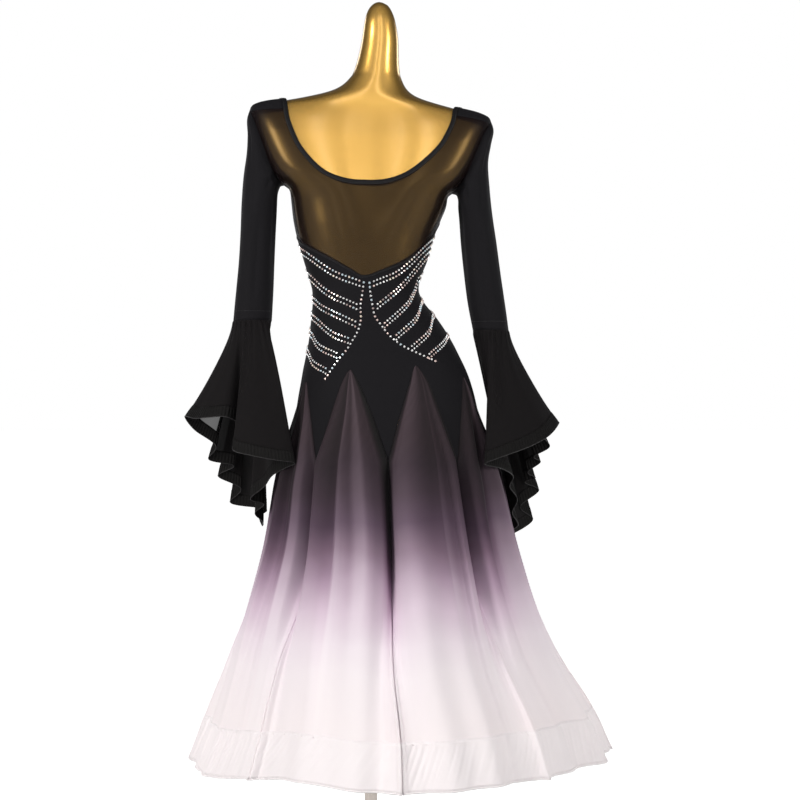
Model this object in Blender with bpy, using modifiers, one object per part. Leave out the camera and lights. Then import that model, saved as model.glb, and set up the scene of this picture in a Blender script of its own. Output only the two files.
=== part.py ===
"""Ballroom dance dress worn by a limbless dress form on a stand.

The back of the dress faces -Y, its wearer's right side is +X and the floor is z = 0.
Sizes are in millimetres and turned into metres when a mesh is made.
A turn is an angle round the body: 0 at the middle of the back, 90 at the +X side, 180 at the
front. A height is a tape measure's reading up the body. It equals z up to the shoulders, and
above them it runs on over the shoulder and up the neck.
"""

import math

import bmesh
import bpy
from mathutils import Vector

MM = 0.001

CLOTH_WALL = 1.2
BINDING_WALL = 1.8
SEAM_GAP = 0.3
EASE = 0.8

BODY = (
    # height, z, left, right, back, front, squareness, slope
    (180, 180, -264, 381, 341, 322, 2.0, 0.0),
    (231, 231, -250, 364, 324, 306, 2.0, 0.0),
    (275, 275, -238, 349, 309, 292, 2.0, 0.0),
    (409, 409, -207, 290, 262, 248, 2.0, 0.0),
    (601, 601, -163, 239, 196, 182, 2.0, 0.0),
    (750, 750, -150, 215, 148, 132, 2.05, 0.0),
    (830, 830, -138, 198, 126, 108, 2.1, 0.0),
    (870, 870, -132, 189, 118, 99, 2.15, 0.0),
    (897, 897, -127, 181, 113, 94, 2.2, 0.0),
    (915, 915, -124, 174, 109, 91, 2.2, 0.0),
    (934, 934, -120, 165, 104, 88, 2.2, 0.0),
    (971, 971, -113, 146, 93, 82, 2.2, 0.0),
    (1008, 1008, -109, 122, 82, 77, 2.2, 0.0),
    (1045, 1045, -106, 93, 75, 75, 2.2, 0.0),
    (1063, 1063, -107, 86, 74, 75, 2.2, 0.0),
    (1082, 1082, -112, 89, 75, 78, 2.2, 0.0),
    (1119, 1119, -123, 103, 80, 88, 2.2, 0.0),
    (1156, 1156, -134, 113, 85, 100, 2.2, 0.0),
    (1193, 1193, -142, 127, 88, 107, 2.3, 0.01),
    (1225, 1225, -146, 138, 89, 106, 2.5, 0.035),
    (1240, 1240, -148, 140, 89, 103, 2.7, 0.045),
    (1246, 1246, -152, 143, 89, 101, 2.8, 0.048),
    (1251, 1251, -160, 149, 88, 99, 2.9, 0.05),
    (1257, 1257, -169, 158, 88, 97, 3.0, 0.052),
    (1268, 1268, -180, 169, 86, 93, 3.2, 0.052),
    (1290, 1290, -191, 182, 83, 85, 3.4, 0.052),
    (1330, 1330, -206, 200, 76, 70, 3.6, 0.052),
    (1360, 1360, -216, 211, 68, 58, 3.6, 0.052),
    (1382, 1382, -222, 220, 60, 50, 3.4, 0.052),
    (1391, 1390, -219, 218, 57, 47, 3.2, 0.052),
    (1402, 1396, -209, 208, 54, 45, 3.1, 0.052),
    (1420, 1401, -192, 191, 53, 44, 2.9, 0.052),
    (1450, 1406, -163, 162, 52, 43, 2.7, 0.052),
    (1480, 1412, -133, 134, 51, 43, 2.4, 0.052),
    (1510, 1420, -100, 94, 50, 42, 2.2, 0.05),
    (1535, 1429, -68, 72, 48, 41, 2.0, 0.045),
    (1556, 1441, -48, 60, 45, 39, 2.0, 0.03),
    (1575, 1458, -36, 55, 41, 36, 2.0, 0.02),
    (1600, 1483, -27, 52, 37, 34, 2.0, 0.0),
    (1640, 1522, -18, 51, 32, 31, 2.0, 0.0),
    (1680, 1561, -12, 45, 27, 26, 2.0, 0.0),
    (1700, 1580, -6, 38, 20, 20, 2.0, 0.0),
    (1712, 1590, 1, 31, 13, 13, 2.0, 0.0),
    (1720, 1595, 8, 22, 6, 6, 2.0, 0.0),
)

FORM_UNDERSIDE = (
    # z, left, right, back, front
    (897, -124, 178, 110, 89),
    (880, -124, 178, 110, 89),
    (860, -121, 174, 108, 87),
    (842, -116, 167, 104, 84),
    (826, -102, 150, 92, 73),
    (814, -80, 122, 74, 58),
    (807, -50, 84, 52, 42),
    (804, -20, 44, 26, 22),
)
FORM_HEIGHTS = (
    915, 943, 971, 990, 1008, 1026, 1045, 1063, 1086, 1119, 1156, 1193, 1225, 1242, 1251, 1259,
    1272, 1300, 1345, 1376, 1388, 1402, 1425, 1460, 1500, 1530, 1550, 1572, 1600, 1650, 1688, 1708,
    1720,
)
FORM_COLUMNS = 28
FORM_SET_IN = (
    # height, behind, in front
    (915, 2.3, 3.6),
    (1225, 2.3, 3.8),
    (1290, 2.8, 4.6),
    (1400, 2.9, 5.4),
    (1450, 2.4, 4.6),
    (1500, 1.0, 1.5),
    (1540, 0.2, 0.2),
)

FLUTE_DEPTH = (
    # height, depth
    (180, 66.0),
    (275, 56.0),
    (409, 42.0),
    (601, 26.0),
    (750, 13.0),
    (840, 6.0),
    (930, 0.0),
)

GODETS = (
    # name, first seam, last seam, apex height, fullness, lean, roundness, ripple, start of ripple
    ("godet_back_left", -44, 0, 914, 1.05, 1.45, 0.42, 0.09, 0.4),
    ("godet_back_right", 0, 42, 922, 1.00, 0.80, 0.62, 0.10, 2.2),
    ("godet_right_back", 42, 90, 901, 0.98, 1.25, 0.55, 0.10, 4.1),
    ("godet_right_front", 90, 135, 904, 1.02, 0.85, 0.55, 0.11, 1.3),
    ("godet_front_right", 135, 180, 908, 0.97, 1.15, 0.60, 0.09, 3.6),
    ("godet_front_left", 180, 225, 906, 1.03, 0.90, 0.50, 0.11, 5.2),
    ("godet_left_front", 225, 270, 903, 1.00, 1.20, 0.55, 0.10, 0.9),
    ("godet_left_back", 270, 316, 892, 1.04, 0.75, 0.50, 0.10, 2.9),
)
TONGUE_TIP = 750
TONGUE_COLUMNS = 3
ARCH = 0.66
GODET_COLUMNS = 10
GODET_ROWS_BELOW = 5
RIPPLES = 3
HEM_SEAM = 280
HEM = 200
HEM_LIFT = (
    # turn, lift
    (-44, 3.0),
    (-30, 9.0),
    (0, -3.0),
    (20, 2.0),
    (42, 5.0),
    (80, 14.0),
    (110, 15.0),
    (150, 2.0),
    (180, -3.0),
    (225, 3.0),
    (270, -2.0),
    (296, -9.0),
    (316, 3.0),
)

BODICE_POINT = (
    # turn, height of the upper edge of the black back
    (-90, 1166),
    (-60, 1147),
    (-32, 1124),
    (-12, 1103),
    (0, 1091),
    (14, 1099),
    (45, 1121),
    (70, 1149),
    (90, 1178),
)

ARMHOLE_FOOT = 1251
ARMHOLE_TOP = 1390
ARMHOLE_SPREAD = 18.0
ARMHOLE_STEPS = 8
SHOULDER_STRIP_STEP = 7

NECK_BACK = (
    # x, height
    (-158, 1446),
    (-154, 1424),
    (-153, 1400),
    (-149, 1371),
    (-130, 1324),
    (-102, 1289),
    (-76, 1270),
    (-43, 1260),
    (0, 1259),
    (37, 1265),
    (70, 1281),
    (102, 1308),
    (130, 1341),
    (147, 1378),
    (150, 1402),
    (152, 1424),
    (156, 1446),
)
NECK_FRONT = (
    # x, height
    (158, 1450),
    (153, 1432),
    (146, 1400),
    (128, 1366),
    (96, 1344),
    (50, 1331),
    (0, 1327),
    (-50, 1331),
    (-96, 1344),
    (-128, 1366),
    (-146, 1400),
    (-153, 1432),
    (-158, 1450),
)
BINDING_WIDTH = 8.5

SLEEVE_LEFT = (
    # outer x, outer z, inner x, inner z, half depth, squareness
    (-228, 1378, -168, 1256, 42, 3.2),
    (-227, 1348, -171, 1250, 46, 3.0),
    (-229, 1314, -173, 1243, 49, 2.6),
    (-235, 1272, -174, 1232, 46, 2.3),
    (-239, 1222, -175, 1205, 43, 2.0),
    (-241, 1170, -177, 1165, 40, 2.0),
    (-244, 1118, -179, 1118, 38, 2.0),
    (-249, 1063, -181, 1063, 36, 2.0),
    (-254, 1007, -184, 1007, 35, 2.0),
)
SLEEVE_RIGHT = (
    # outer x, outer z, inner x, inner z, half depth, squareness
    (226, 1357, 158, 1240, 42, 3.2),
    (221, 1330, 161, 1234, 46, 3.0),
    (216, 1296, 162, 1227, 49, 2.6),
    (219, 1250, 162, 1214, 46, 2.3),
    (224, 1204, 164, 1190, 43, 2.0),
    (232, 1150, 167, 1147, 40, 2.0),
    (239, 1098, 172, 1098, 38, 2.0),
    (247, 1042, 179, 1042, 36, 2.0),
    (254, 989, 189, 989, 35, 2.0),
)

FLOUNCE_LEFT = (
    # cuff turn, x, y, z
    (0, -344, 0, 829),
    (14, -322, -36, 826),
    (28, -296, -58, 828),
    (42, -262, -66, 829),
    (54, -238, -52, 814),
    (64, -240, -82, 792),
    (76, -247, -108, 770),
    (92, -213, -120, 760),
    (108, -172, -118, 752),
    (126, -137, -104, 746),
    (138, -154, -84, 737),
    (148, -180, -62, 722),
    (158, -196, -40, 701),
    (170, -222, -24, 678),
    (182, -198, -6, 668),
    (194, -216, 14, 650),
    (206, -203, 32, 634),
    (218, -205, 58, 624),
    (232, -212, 86, 640),
    (246, -202, 112, 653),
    (262, -268, 122, 664),
    (275, -247, 104, 692),
    (289, -290, 96, 716),
    (302, -259, 78, 736),
    (317, -305, 68, 748),
    (332, -290, 46, 774),
    (346, -328, 26, 804),
)
FLOUNCE_RIGHT = (
    # cuff turn, x, y, z
    (0, 347, 0, 818),
    (16, 335, -42, 803),
    (34, 316, -72, 789),
    (52, 284, -98, 774),
    (70, 250, -116, 762),
    (86, 222, -120, 752),
    (98, 207, -110, 744),
    (114, 240, -66, 735),
    (130, 262, -30, 720),
    (144, 257, -6, 700),
    (158, 272, 18, 676),
    (172, 264, 42, 650),
    (186, 276, 66, 626),
    (200, 263, 92, 613),
    (216, 272, 118, 608),
    (231, 307, 134, 632),
    (244, 282, 116, 657),
    (256, 317, 116, 688),
    (268, 290, 100, 704),
    (279, 309, 92, 713),
    (291, 294, 78, 724),
    (303, 317, 68, 743),
    (316, 304, 52, 754),
    (331, 332, 38, 772),
    (345, 322, 20, 793),
)
FLOUNCE_ROWS = 5
FLARE_LEFT = (1.02, 0.43, 0.0)
FLARE_RIGHT = (1.2, 0.2, 0.2)
FLOUNCE_BAND = 22.0

BASE_PROFILE = (
    # radius, z
    (0.0, 44.0),
    (19.0, 44.0),
    (21.0, 42.0),
    (21.0, 16.0),
    (24.0, 13.0),
    (166.0, 9.0),
    (172.0, 7.0),
    (175.0, 3.5),
    (174.0, 0.0),
    (0.0, 0.0),
)
POLE_RADIUS = 12.0
SOCKET_RADIUS = 19.0
SOCKET_LENGTH = 26.0
FORM_FOOT_AT_POLE = 804.0


def blend(rows, at):
    """The columns of a table at this value of its first column, on a curve that never overshoots."""
    if at <= rows[0][0]:
        return list(rows[0][1:])
    if at >= rows[-1][0]:
        return list(rows[-1][1:])
    index = 0
    while rows[index + 1][0] < at:
        index += 1
    start, end = rows[index], rows[index + 1]
    step = end[0] - start[0]
    share = (at - start[0]) / step
    values = []
    for column in range(1, len(start)):
        rise = (end[column] - start[column]) / step
        before = rise
        after = rise
        if index > 0:
            last = rows[index - 1]
            before = soft_slope((start[column] - last[column]) / (start[0] - last[0]), rise)
        if index + 2 < len(rows):
            coming = rows[index + 2]
            after = soft_slope(rise, (coming[column] - end[column]) / (coming[0] - end[0]))
        square = share * share
        cube = square * share
        values.append(
            (2 * cube - 3 * square + 1) * start[column]
            + (cube - 2 * square + share) * step * before
            + (3 * square - 2 * cube) * end[column]
            + (cube - square) * step * after
        )
    return values


def soft_slope(first, second):
    if first * second <= 0:
        return 0.0
    return 2 * first * second / (first + second)


def power(value, exponent):
    return math.copysign(abs(value) ** exponent, value)


def godet_at(turn):
    """The godet whose sector holds this turn, with the turn moved into the sector's own range."""
    for godet in GODETS:
        for whole in (-360, 0, 360):
            if godet[1] <= turn + whole < godet[2]:
                return godet, turn + whole
    return GODETS[0], turn


def flute(turn, height):
    """How far the skirt stands out from its smooth shape. It is nothing on the tongues between godets."""
    godet, turn = godet_at(turn)
    name, first, last, apex, fullness, lean, roundness, ripple, start = godet
    if height >= apex:
        return 0.0
    opened = min(1.0, (apex - height) / (apex - TONGUE_TIP)) ** ARCH
    middle = (first + last) / 2
    share = 0.5 + (turn - middle) / ((last - first) * opened)
    if share <= 0 or share >= 1:
        return 0.0
    dome = math.sin(math.pi * share ** lean) ** roundness
    waves = ripple * math.sin(2 * math.pi * RIPPLES * share + start) * math.sin(math.pi * share)
    return blend(FLUTE_DEPTH, height)[0] * fullness * (dome + waves)


def hem_lift(turn, height):
    if height >= TONGUE_TIP:
        return 0.0
    turn = (turn + 44) % 360 - 44
    low = (TONGUE_TIP - height) / (TONGUE_TIP - HEM)
    return blend(HEM_LIFT, turn)[0] * low * low


def smooth_point(turn, height):
    """A point of the body and skirt without flutes."""
    z, left, right, back, front, squareness, slope = blend(BODY, height)
    angle = math.radians(turn)
    across = power(math.sin(angle), 2 / squareness)
    away = power(math.cos(angle), 2 / squareness)
    x = (left + right) / 2 + (right - left) / 2 * across
    depth = back if away > 0 else front
    return Vector((x, -depth * away, z - slope * x))


def body_point(turn, height):
    """A point of the body and skirt, with the skirt's flutes and the lift of its hem."""
    point = smooth_point(turn, height)
    if height < 930:
        angle = math.radians(turn)
        out = flute(turn, height)
        point += Vector((out * math.sin(angle), -out * math.cos(angle), hem_lift(turn, height)))
    return point


def body_normal(turn, height):
    round_step = 1.2
    up_step = 2.0
    sideways = body_point(turn + round_step, height) - body_point(turn - round_step, height)
    upwards = body_point(turn, height + up_step) - body_point(turn, height - up_step)
    return sideways.cross(upwards).normalized()


def turn_at(x, height, on_front):
    """The turn at which the body reaches this x."""
    z, left, right, back, front, squareness, slope = blend(BODY, height)
    share = max(-1.0, min(1.0, (x - (left + right) / 2) / ((right - left) / 2)))
    turn = math.degrees(math.asin(power(share, squareness / 2)))
    return 180 - turn if on_front else turn


def on_body(places):
    """The grid's points, given as turn and height, lifted off the body by the ease, with their normals."""
    grid = []
    for row in places:
        cells = []
        for turn, height in row:
            normal = body_normal(turn, height)
            cells.append((body_point(turn, height) + normal * EASE, normal))
        grid.append(cells)
    return grid


def between(first, last, rows):
    """Rows of places from one line of places to another."""
    grid = []
    for row in range(rows + 1):
        share = row / rows
        grid.append([
            (a[0] + (b[0] - a[0]) * share, a[1] + (b[1] - a[1]) * share)
            for a, b in zip(first, last)
        ])
    return grid


def through(places, count):
    """A smooth open line through places, as this many equal parts of its course from place to place."""
    line = []
    for step in range(count + 1):
        at = step / count * (len(places) - 1)
        index = min(int(at), len(places) - 2)
        share = at - index
        p1, p2 = places[index], places[index + 1]
        p0 = places[index - 1] if index > 0 else [2 * a - b for a, b in zip(p1, p2)]
        p3 = places[index + 2] if index + 2 < len(places) else [2 * b - a for a, b in zip(p1, p2)]
        line.append(tuple(
            0.5 * (
                2 * b
                + (c - a) * share
                + (2 * a - 5 * b + 4 * c - d) * share ** 2
                + (3 * b - a - 3 * c + d) * share ** 3
            )
            for a, b, c, d in zip(p0, p1, p2, p3)
        ))
    return line


def lengths_along(places):
    total = [0.0]
    points = [body_point(turn, height) for turn, height in places]
    for a, b in zip(points, points[1:]):
        total.append(total[-1] + (b - a).length)
    return [length / total[-1] for length in total]


def matched(line, shares):
    """The places on a line at these shares of its length."""
    own = lengths_along(line)
    found = []
    for share in shares:
        index = 0
        while index + 2 < len(own) and own[index + 1] < share:
            index += 1
        part = (share - own[index]) / (own[index + 1] - own[index])
        a, b = line[index], line[index + 1]
        found.append((a[0] + (b[0] - a[0]) * part, a[1] + (b[1] - a[1]) * part))
    return found


def moved_out(places, distance):
    """A closed line of places moved away from the neck over the body's surface."""
    moved = []
    count = len(places)
    for index, (turn, height) in enumerate(places):
        before = body_point(*places[index - 1])
        after = body_point(*places[(index + 1) % count])
        normal = body_normal(turn, height)
        away = (after - before).cross(normal).normalized() * distance
        sideways = (body_point(turn + 0.5, height) - body_point(turn - 0.5, height))
        upwards = (body_point(turn, height + 0.5) - body_point(turn, height - 0.5))
        ss, uu, su = sideways.dot(sideways), upwards.dot(upwards), sideways.dot(upwards)
        sa, ua = sideways.dot(away), upwards.dot(away)
        span = ss * uu - su * su
        moved.append((turn + (sa * uu - ua * su) / span, height + (ua * ss - sa * su) / span))
    return moved


def welded(grids):
    """The points, normals and faces of some grids whose shared edges become one."""
    index_of = {}
    points, normals, faces = [], [], []
    for grid in grids:
        numbers = []
        for row in grid:
            line = []
            for point, normal in row:
                key = tuple(round(value, 3) for value in point)
                if key not in index_of:
                    index_of[key] = len(points)
                    points.append(point.copy())
                    normals.append(normal.copy())
                line.append(index_of[key])
            numbers.append(line)
        facing = 0.0
        made = []
        for low, high in zip(numbers, numbers[1:]):
            for column in range(len(low) - 1):
                corners = [low[column], low[column + 1], high[column + 1], high[column]]
                face = [c for i, c in enumerate(corners) if c != corners[i - 1]]
                if len(set(face)) < 3:
                    continue
                a, b, c = (points[face[0]], points[face[1]], points[face[2]])
                facing += (b - a).cross(c - b).dot(normals[face[1]])
                made.append(face)
        faces += [face[::-1] for face in made] if facing < 0 else made
    return points, normals, faces


def open_edges(faces):
    """The edges of one face only, each as its ends in that face's order, with the face."""
    users = {}
    for face in faces:
        for a, b in zip(face, face[1:] + face[:1]):
            users.setdefault(frozenset((a, b)), []).append((a, b, face))
    return [found[0] for found in users.values() if len(found) == 1]


def trimmed(points, faces, edges, distance):
    """The points with those of the open edges slid back over the panel by half a seam gap."""
    rims = {}
    for a, b, face in edges:
        rims.setdefault(a, set()).add(b)
        rims.setdefault(b, set()).add(a)
    inside = {corner: set() for corner in rims}
    for face in faces:
        for a, b in zip(face, face[1:] + face[:1]):
            for corner, other in ((a, b), (b, a)):
                if corner in rims and other not in rims[corner]:
                    inside[corner].add(other)
    result = [point.copy() for point in points]
    for corner, beside in rims.items():
        way = Vector((0, 0, 0))
        for other in inside[corner] or beside:
            way += (points[other] - points[corner]).normalized()
        way.normalize()
        slant = min(way.cross((points[other] - points[corner]).normalized()).length for other in beside)
        result[corner] += way * (distance / max(slant, 0.16))
    return result


def collection_of(name):
    found = bpy.data.collections.new(name)
    bpy.context.scene.collection.children.link(found)
    return found


def material_of(name, colour, roughness, metallic=0.0, alpha=1.0):
    material = bpy.data.materials.new(name)
    material.use_nodes = True
    shader = material.node_tree.nodes["Principled BSDF"]
    shader.inputs["Base Color"].default_value = (*colour, 1.0)
    shader.inputs["Roughness"].default_value = roughness
    shader.inputs["Metallic"].default_value = metallic
    shader.inputs["Alpha"].default_value = alpha
    material.diffuse_color = (*colour, 1.0)
    return material


def add_object(name, points, faces, material, home, smooth=True):
    mesh = bpy.data.meshes.new(name)
    mesh.from_pydata([point * MM for point in points], [], faces)
    mesh.materials.append(material)
    mesh.polygons.foreach_set("use_smooth", [smooth] * len(mesh.polygons))
    mesh.update()
    made = bpy.data.objects.new(name, mesh)
    home.objects.link(made)
    return made


def add_cloth(name, grids, wall, material, home):
    """A panel of cloth: its inner face on the grids, its outer face a wall away, and its edges closed."""
    points, normals, faces = welded(grids)
    edges = open_edges(faces)
    inner = trimmed(points, faces, edges, SEAM_GAP / 2)
    outer = [point + normal * wall for point, normal in zip(inner, normals)]
    count = len(points)
    shell = [[corner + count for corner in face] for face in faces]
    shell += [face[::-1] for face in faces]
    for a, b, face in edges:
        if tuple(points[a]) < tuple(points[b]):
            shell += [[a, b, b + count], [a, b + count, a + count]]
        else:
            shell += [[a, b, a + count], [b, b + count, a + count]]
    return add_object(name, inner + outer, shell, material, home)


def with_normals(rings):
    """Closed rings of points as a grid with outward normals. The first column is repeated at the end."""
    count = len(rings[0])
    grid = []
    for row, ring in enumerate(rings):
        below = rings[max(row - 1, 0)]
        above = rings[min(row + 1, len(rings) - 1)]
        cells = []
        for column in range(count + 1):
            here = column % count
            sideways = ring[(here + 1) % count] - ring[here - 1]
            down = above[here] - below[here]
            cells.append((ring[here], down.cross(sideways).normalized()))
        grid.append(cells)
    return grid


def facing_out(grid, centre):
    """The grid with every normal turned away from the tube's middle if most of them face inwards."""
    point, normal = grid[len(grid) // 2][0]
    if normal.dot(point - centre) > 0:
        return grid
    return [[(point, -normal) for point, normal in row] for row in grid]


def levelled(row):
    """The row with its normals turned level, so that the wall's end lies flat."""
    return [(point, Vector((normal.x, normal.y, 0)).normalized()) for point, normal in row]


def armhole_places(side, on_front):
    """Places from the foot of an armhole to its top. side is -1 for the left and 1 for the right."""
    places = []
    for step in range(ARMHOLE_STEPS + 1):
        angle = math.pi * step / ARMHOLE_STEPS
        spread = ARMHOLE_SPREAD * max(0.0, math.sin(angle)) ** 0.8
        height = ARMHOLE_FOOT + (ARMHOLE_TOP - ARMHOLE_FOOT) * (1 - math.cos(angle)) / 2
        turn = 90 + spread if on_front else 90 - spread
        places.append((side * turn, height))
    return places


def tongue_columns(first_seam, godets):
    """Turns and lower heights of the black panel over some godets: tongue tip, apex, tongue tip, and so on."""
    columns = [(first_seam, TONGUE_TIP)]
    for godet in godets:
        first, last, apex = godet[1], godet[2], godet[3]
        if first < first_seam:
            first, last = first + 360, last + 360
        middle = (first + last) / 2
        for step in range(1, 2 * TONGUE_COLUMNS + 1):
            share = abs(step - TONGUE_COLUMNS) / TONGUE_COLUMNS
            turn = first + (last - first) * step / (2 * TONGUE_COLUMNS)
            columns.append((turn, apex - (apex - TONGUE_TIP) * share ** (1 / ARCH)))
    return columns


def godets_between(first_seam, last_seam):
    chosen = []
    for godet in GODETS:
        whole = 0
        if godet[1] < first_seam - 0.1:
            whole = 360
        if godet[1] >= last_seam - 0.1:
            whole = -360
        if first_seam - 0.1 <= godet[1] + whole < last_seam - 0.1:
            chosen.append((godet[1] + whole, godet))
    return [(name, start, start + last - first, apex) for start, (name, first, last, apex, *rest) in sorted(chosen)]


def neck_lines():
    """The neckline's back and front lines of places, and the same lines moved out by the binding's width."""
    back = [(turn_at(x, height, False), height) for x, height in NECK_BACK]
    front = [(turn_at(x, height, True), height) for x, height in NECK_FRONT]
    front = [back[-1]] + front + [(back[0][0] + 360, back[0][1])]
    return through(back, 96), through(front, 84)


def build_bodice(home, black, sheer, trim):
    left_back = armhole_places(-1, False)
    right_back = armhole_places(1, False)
    left_front = [(turn + 360, height) for turn, height in armhole_places(-1, True)]
    right_front = armhole_places(1, True)
    back_columns = tongue_columns(-90, godets_between(-90, 90))
    front_columns = tongue_columns(90, godets_between(90, 270))

    point_line = [(turn, blend(BODICE_POINT, turn)[0]) for turn, low in back_columns]
    add_cloth("back_body", [on_body(between(point_line, back_columns, 9))], CLOTH_WALL, black, home)

    side_steps = 3
    left_side = between([(-90, ARMHOLE_FOOT)], [point_line[0]], side_steps)
    right_side = between([point_line[-1]], [(90, ARMHOLE_FOOT)], side_steps)
    top = SHOULDER_STRIP_STEP
    yoke_edge = left_back[top::-1] + [row[0] for row in left_side[1:-1]] + point_line
    yoke_edge += [row[0] for row in right_side[1:-1]] + right_back[: top + 1]
    neck_back, neck_front = neck_lines()
    yoke_neck = matched(neck_back, lengths_along(yoke_edge))

    chest = [(turn, ARMHOLE_FOOT) for turn, low in front_columns]
    front_edge = right_back[top:-1] + right_front[::-1] + chest[1:-1] + left_front
    front_edge += [(turn + 360, height) for turn, height in left_back[-2: top - 1: -1]]
    front_neck = matched(neck_front, lengths_along(front_edge))

    inner_line = yoke_neck[:-1] + front_neck[:-1]
    outer_line = moved_out(inner_line, BINDING_WIDTH)
    yoke_inner = outer_line[: len(yoke_edge)]
    front_inner = outer_line[len(yoke_edge) - 1:] + [(outer_line[0][0] + 360, outer_line[0][1])]

    add_cloth("back_mesh", [on_body(between(yoke_edge, yoke_inner, 5))], CLOTH_WALL, sheer, home)
    front_grids = [
        on_body(between(chest, front_columns, 10)),
        on_body(between(front_edge, front_inner, 4)),
    ]
    add_cloth("front_body", front_grids, CLOTH_WALL, black, home)
    inner_line.append((inner_line[0][0] + 360, inner_line[0][1]))
    outer_line.append((outer_line[0][0] + 360, outer_line[0][1]))
    ring = on_body([inner_line, outer_line])
    add_cloth("neck_binding", [ring], BINDING_WALL, trim, home)


def build_skirt(home, skirt, hem):
    for name, first, last, apex, *shape in GODETS:
        middle = (first + last) / 2
        rows = []
        for step in range(TONGUE_COLUMNS + 1):
            opened = step / TONGUE_COLUMNS
            height = apex - (apex - TONGUE_TIP) * opened ** (1 / ARCH)
            rows.append((opened, height))
        for step in range(1, GODET_ROWS_BELOW + 1):
            rows.append((1.0, TONGUE_TIP + (HEM_SEAM - TONGUE_TIP) * step / GODET_ROWS_BELOW))
        places = []
        for opened, height in rows:
            half = (last - first) / 2 * opened
            places.append([
                (middle + half * (2 * column / GODET_COLUMNS - 1), height)
                for column in range(GODET_COLUMNS + 1)
            ])
        add_cloth(name, [on_body(places)], CLOTH_WALL, skirt, home)
        turns = [turn for turn, height in places[-1]]
        band = [[(turn, height) for turn in turns] for height in (HEM_SEAM, HEM)]
        add_cloth(name.replace("godet", "hem_band"), [on_body(band)], CLOTH_WALL, hem, home)


def build_sleeve(name, side, table, home, black):
    """A sleeve from its armhole to the cuff seam, as rings that fan out from the underarm."""
    back = armhole_places(side, False)
    front = armhole_places(side, True)
    armhole = [back[step] for step in range(ARMHOLE_STEPS, -1, -1)]
    armhole += [front[step] for step in range(1, ARMHOLE_STEPS)]
    count = len(armhole)
    first = on_body([armhole])[0]
    rings = [[point for point, normal in first]]
    for outer_x, outer_z, inner_x, inner_z, half_depth, squareness in table:
        outer = Vector((outer_x, 0, outer_z))
        inner = Vector((inner_x, 0, inner_z))
        middle = (outer + inner) / 2
        ring = []
        for column in range(count):
            angle = 2 * math.pi * column / count
            across = (outer - inner) / 2 * power(math.cos(angle), 2 / squareness)
            away = -half_depth * power(math.sin(angle), 2 / squareness)
            ring.append(middle + across + Vector((0, away, 0)))
        rings.append(ring)
    grid = facing_out(with_normals(rings), (rings[5][0] + rings[5][count // 2]) / 2)
    grid[0] = [(first[column % count][0], first[column % count][1]) for column in range(count + 1)]
    grid[-1] = levelled(grid[-1])
    add_cloth(name, [grid], CLOTH_WALL, black, home)


def build_flounce(name, side, table, cuff, flare_of, home, cloth):
    """A bell flounce: a cuff ring opening to a hem that folds to and fro as it falls behind the hand."""
    outer_x, cuff_z, inner_x, inner_z, half_depth, squareness = cuff
    middle = Vector(((outer_x + inner_x) / 2, 0, cuff_z))
    hem = []
    count = len(table)
    for index in range(count):
        p0, p1 = table[index - 1], table[index]
        p2, p3 = table[(index + 1) % count], table[(index + 2) % count]
        turns = [p0[0], p1[0], p2[0], p3[0]]
        for place in range(1, 4):
            while turns[place] < turns[place - 1]:
                turns[place] += 360
        hem.append((p1[0], Vector(p1[1:])))
        half = [(9 * (b + c) - a - d) / 16 for a, b, c, d in zip(p0[1:], p1[1:], p2[1:], p3[1:])]
        hem.append(((turns[1] + turns[2]) / 2, Vector(half)))
    top_ring = []
    for turn, point in hem:
        angle = math.radians(turn)
        x = middle.x + side * abs(outer_x - inner_x) / 2 * math.cos(angle)
        top_ring.append(Vector((x, -half_depth * math.sin(angle), cuff_z)))
    band_share = []
    for top, (turn, low) in zip(top_ring, hem):
        band_share.append(1 - FLOUNCE_BAND / (low - top).length)
    rings = []
    for row in range(FLOUNCE_ROWS + 2):
        ring = []
        for top, (turn, low), edge in zip(top_ring, hem, band_share):
            share = 1.0 if row > FLOUNCE_ROWS else edge * row / FLOUNCE_ROWS
            angle = math.radians(turn)
            flare = share ** (flare_of[0] + flare_of[1] * math.cos(angle) + flare_of[2] * math.sin(angle))
            ring.append(Vector((
                top.x + (low.x - top.x) * flare,
                top.y + (low.y - top.y) * flare,
                top.z + (low.z - top.z) * share,
            )))
        rings.append(ring)
    grid = facing_out(with_normals(rings), (rings[3][0] + rings[3][len(hem) // 2]) / 2)
    grid[0] = levelled(grid[0])
    add_cloth("flounce_" + name, [grid[:-1]], CLOTH_WALL, cloth, home)
    add_cloth("flounce_band_" + name, [grid[-2:]], CLOTH_WALL, cloth, home)


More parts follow.
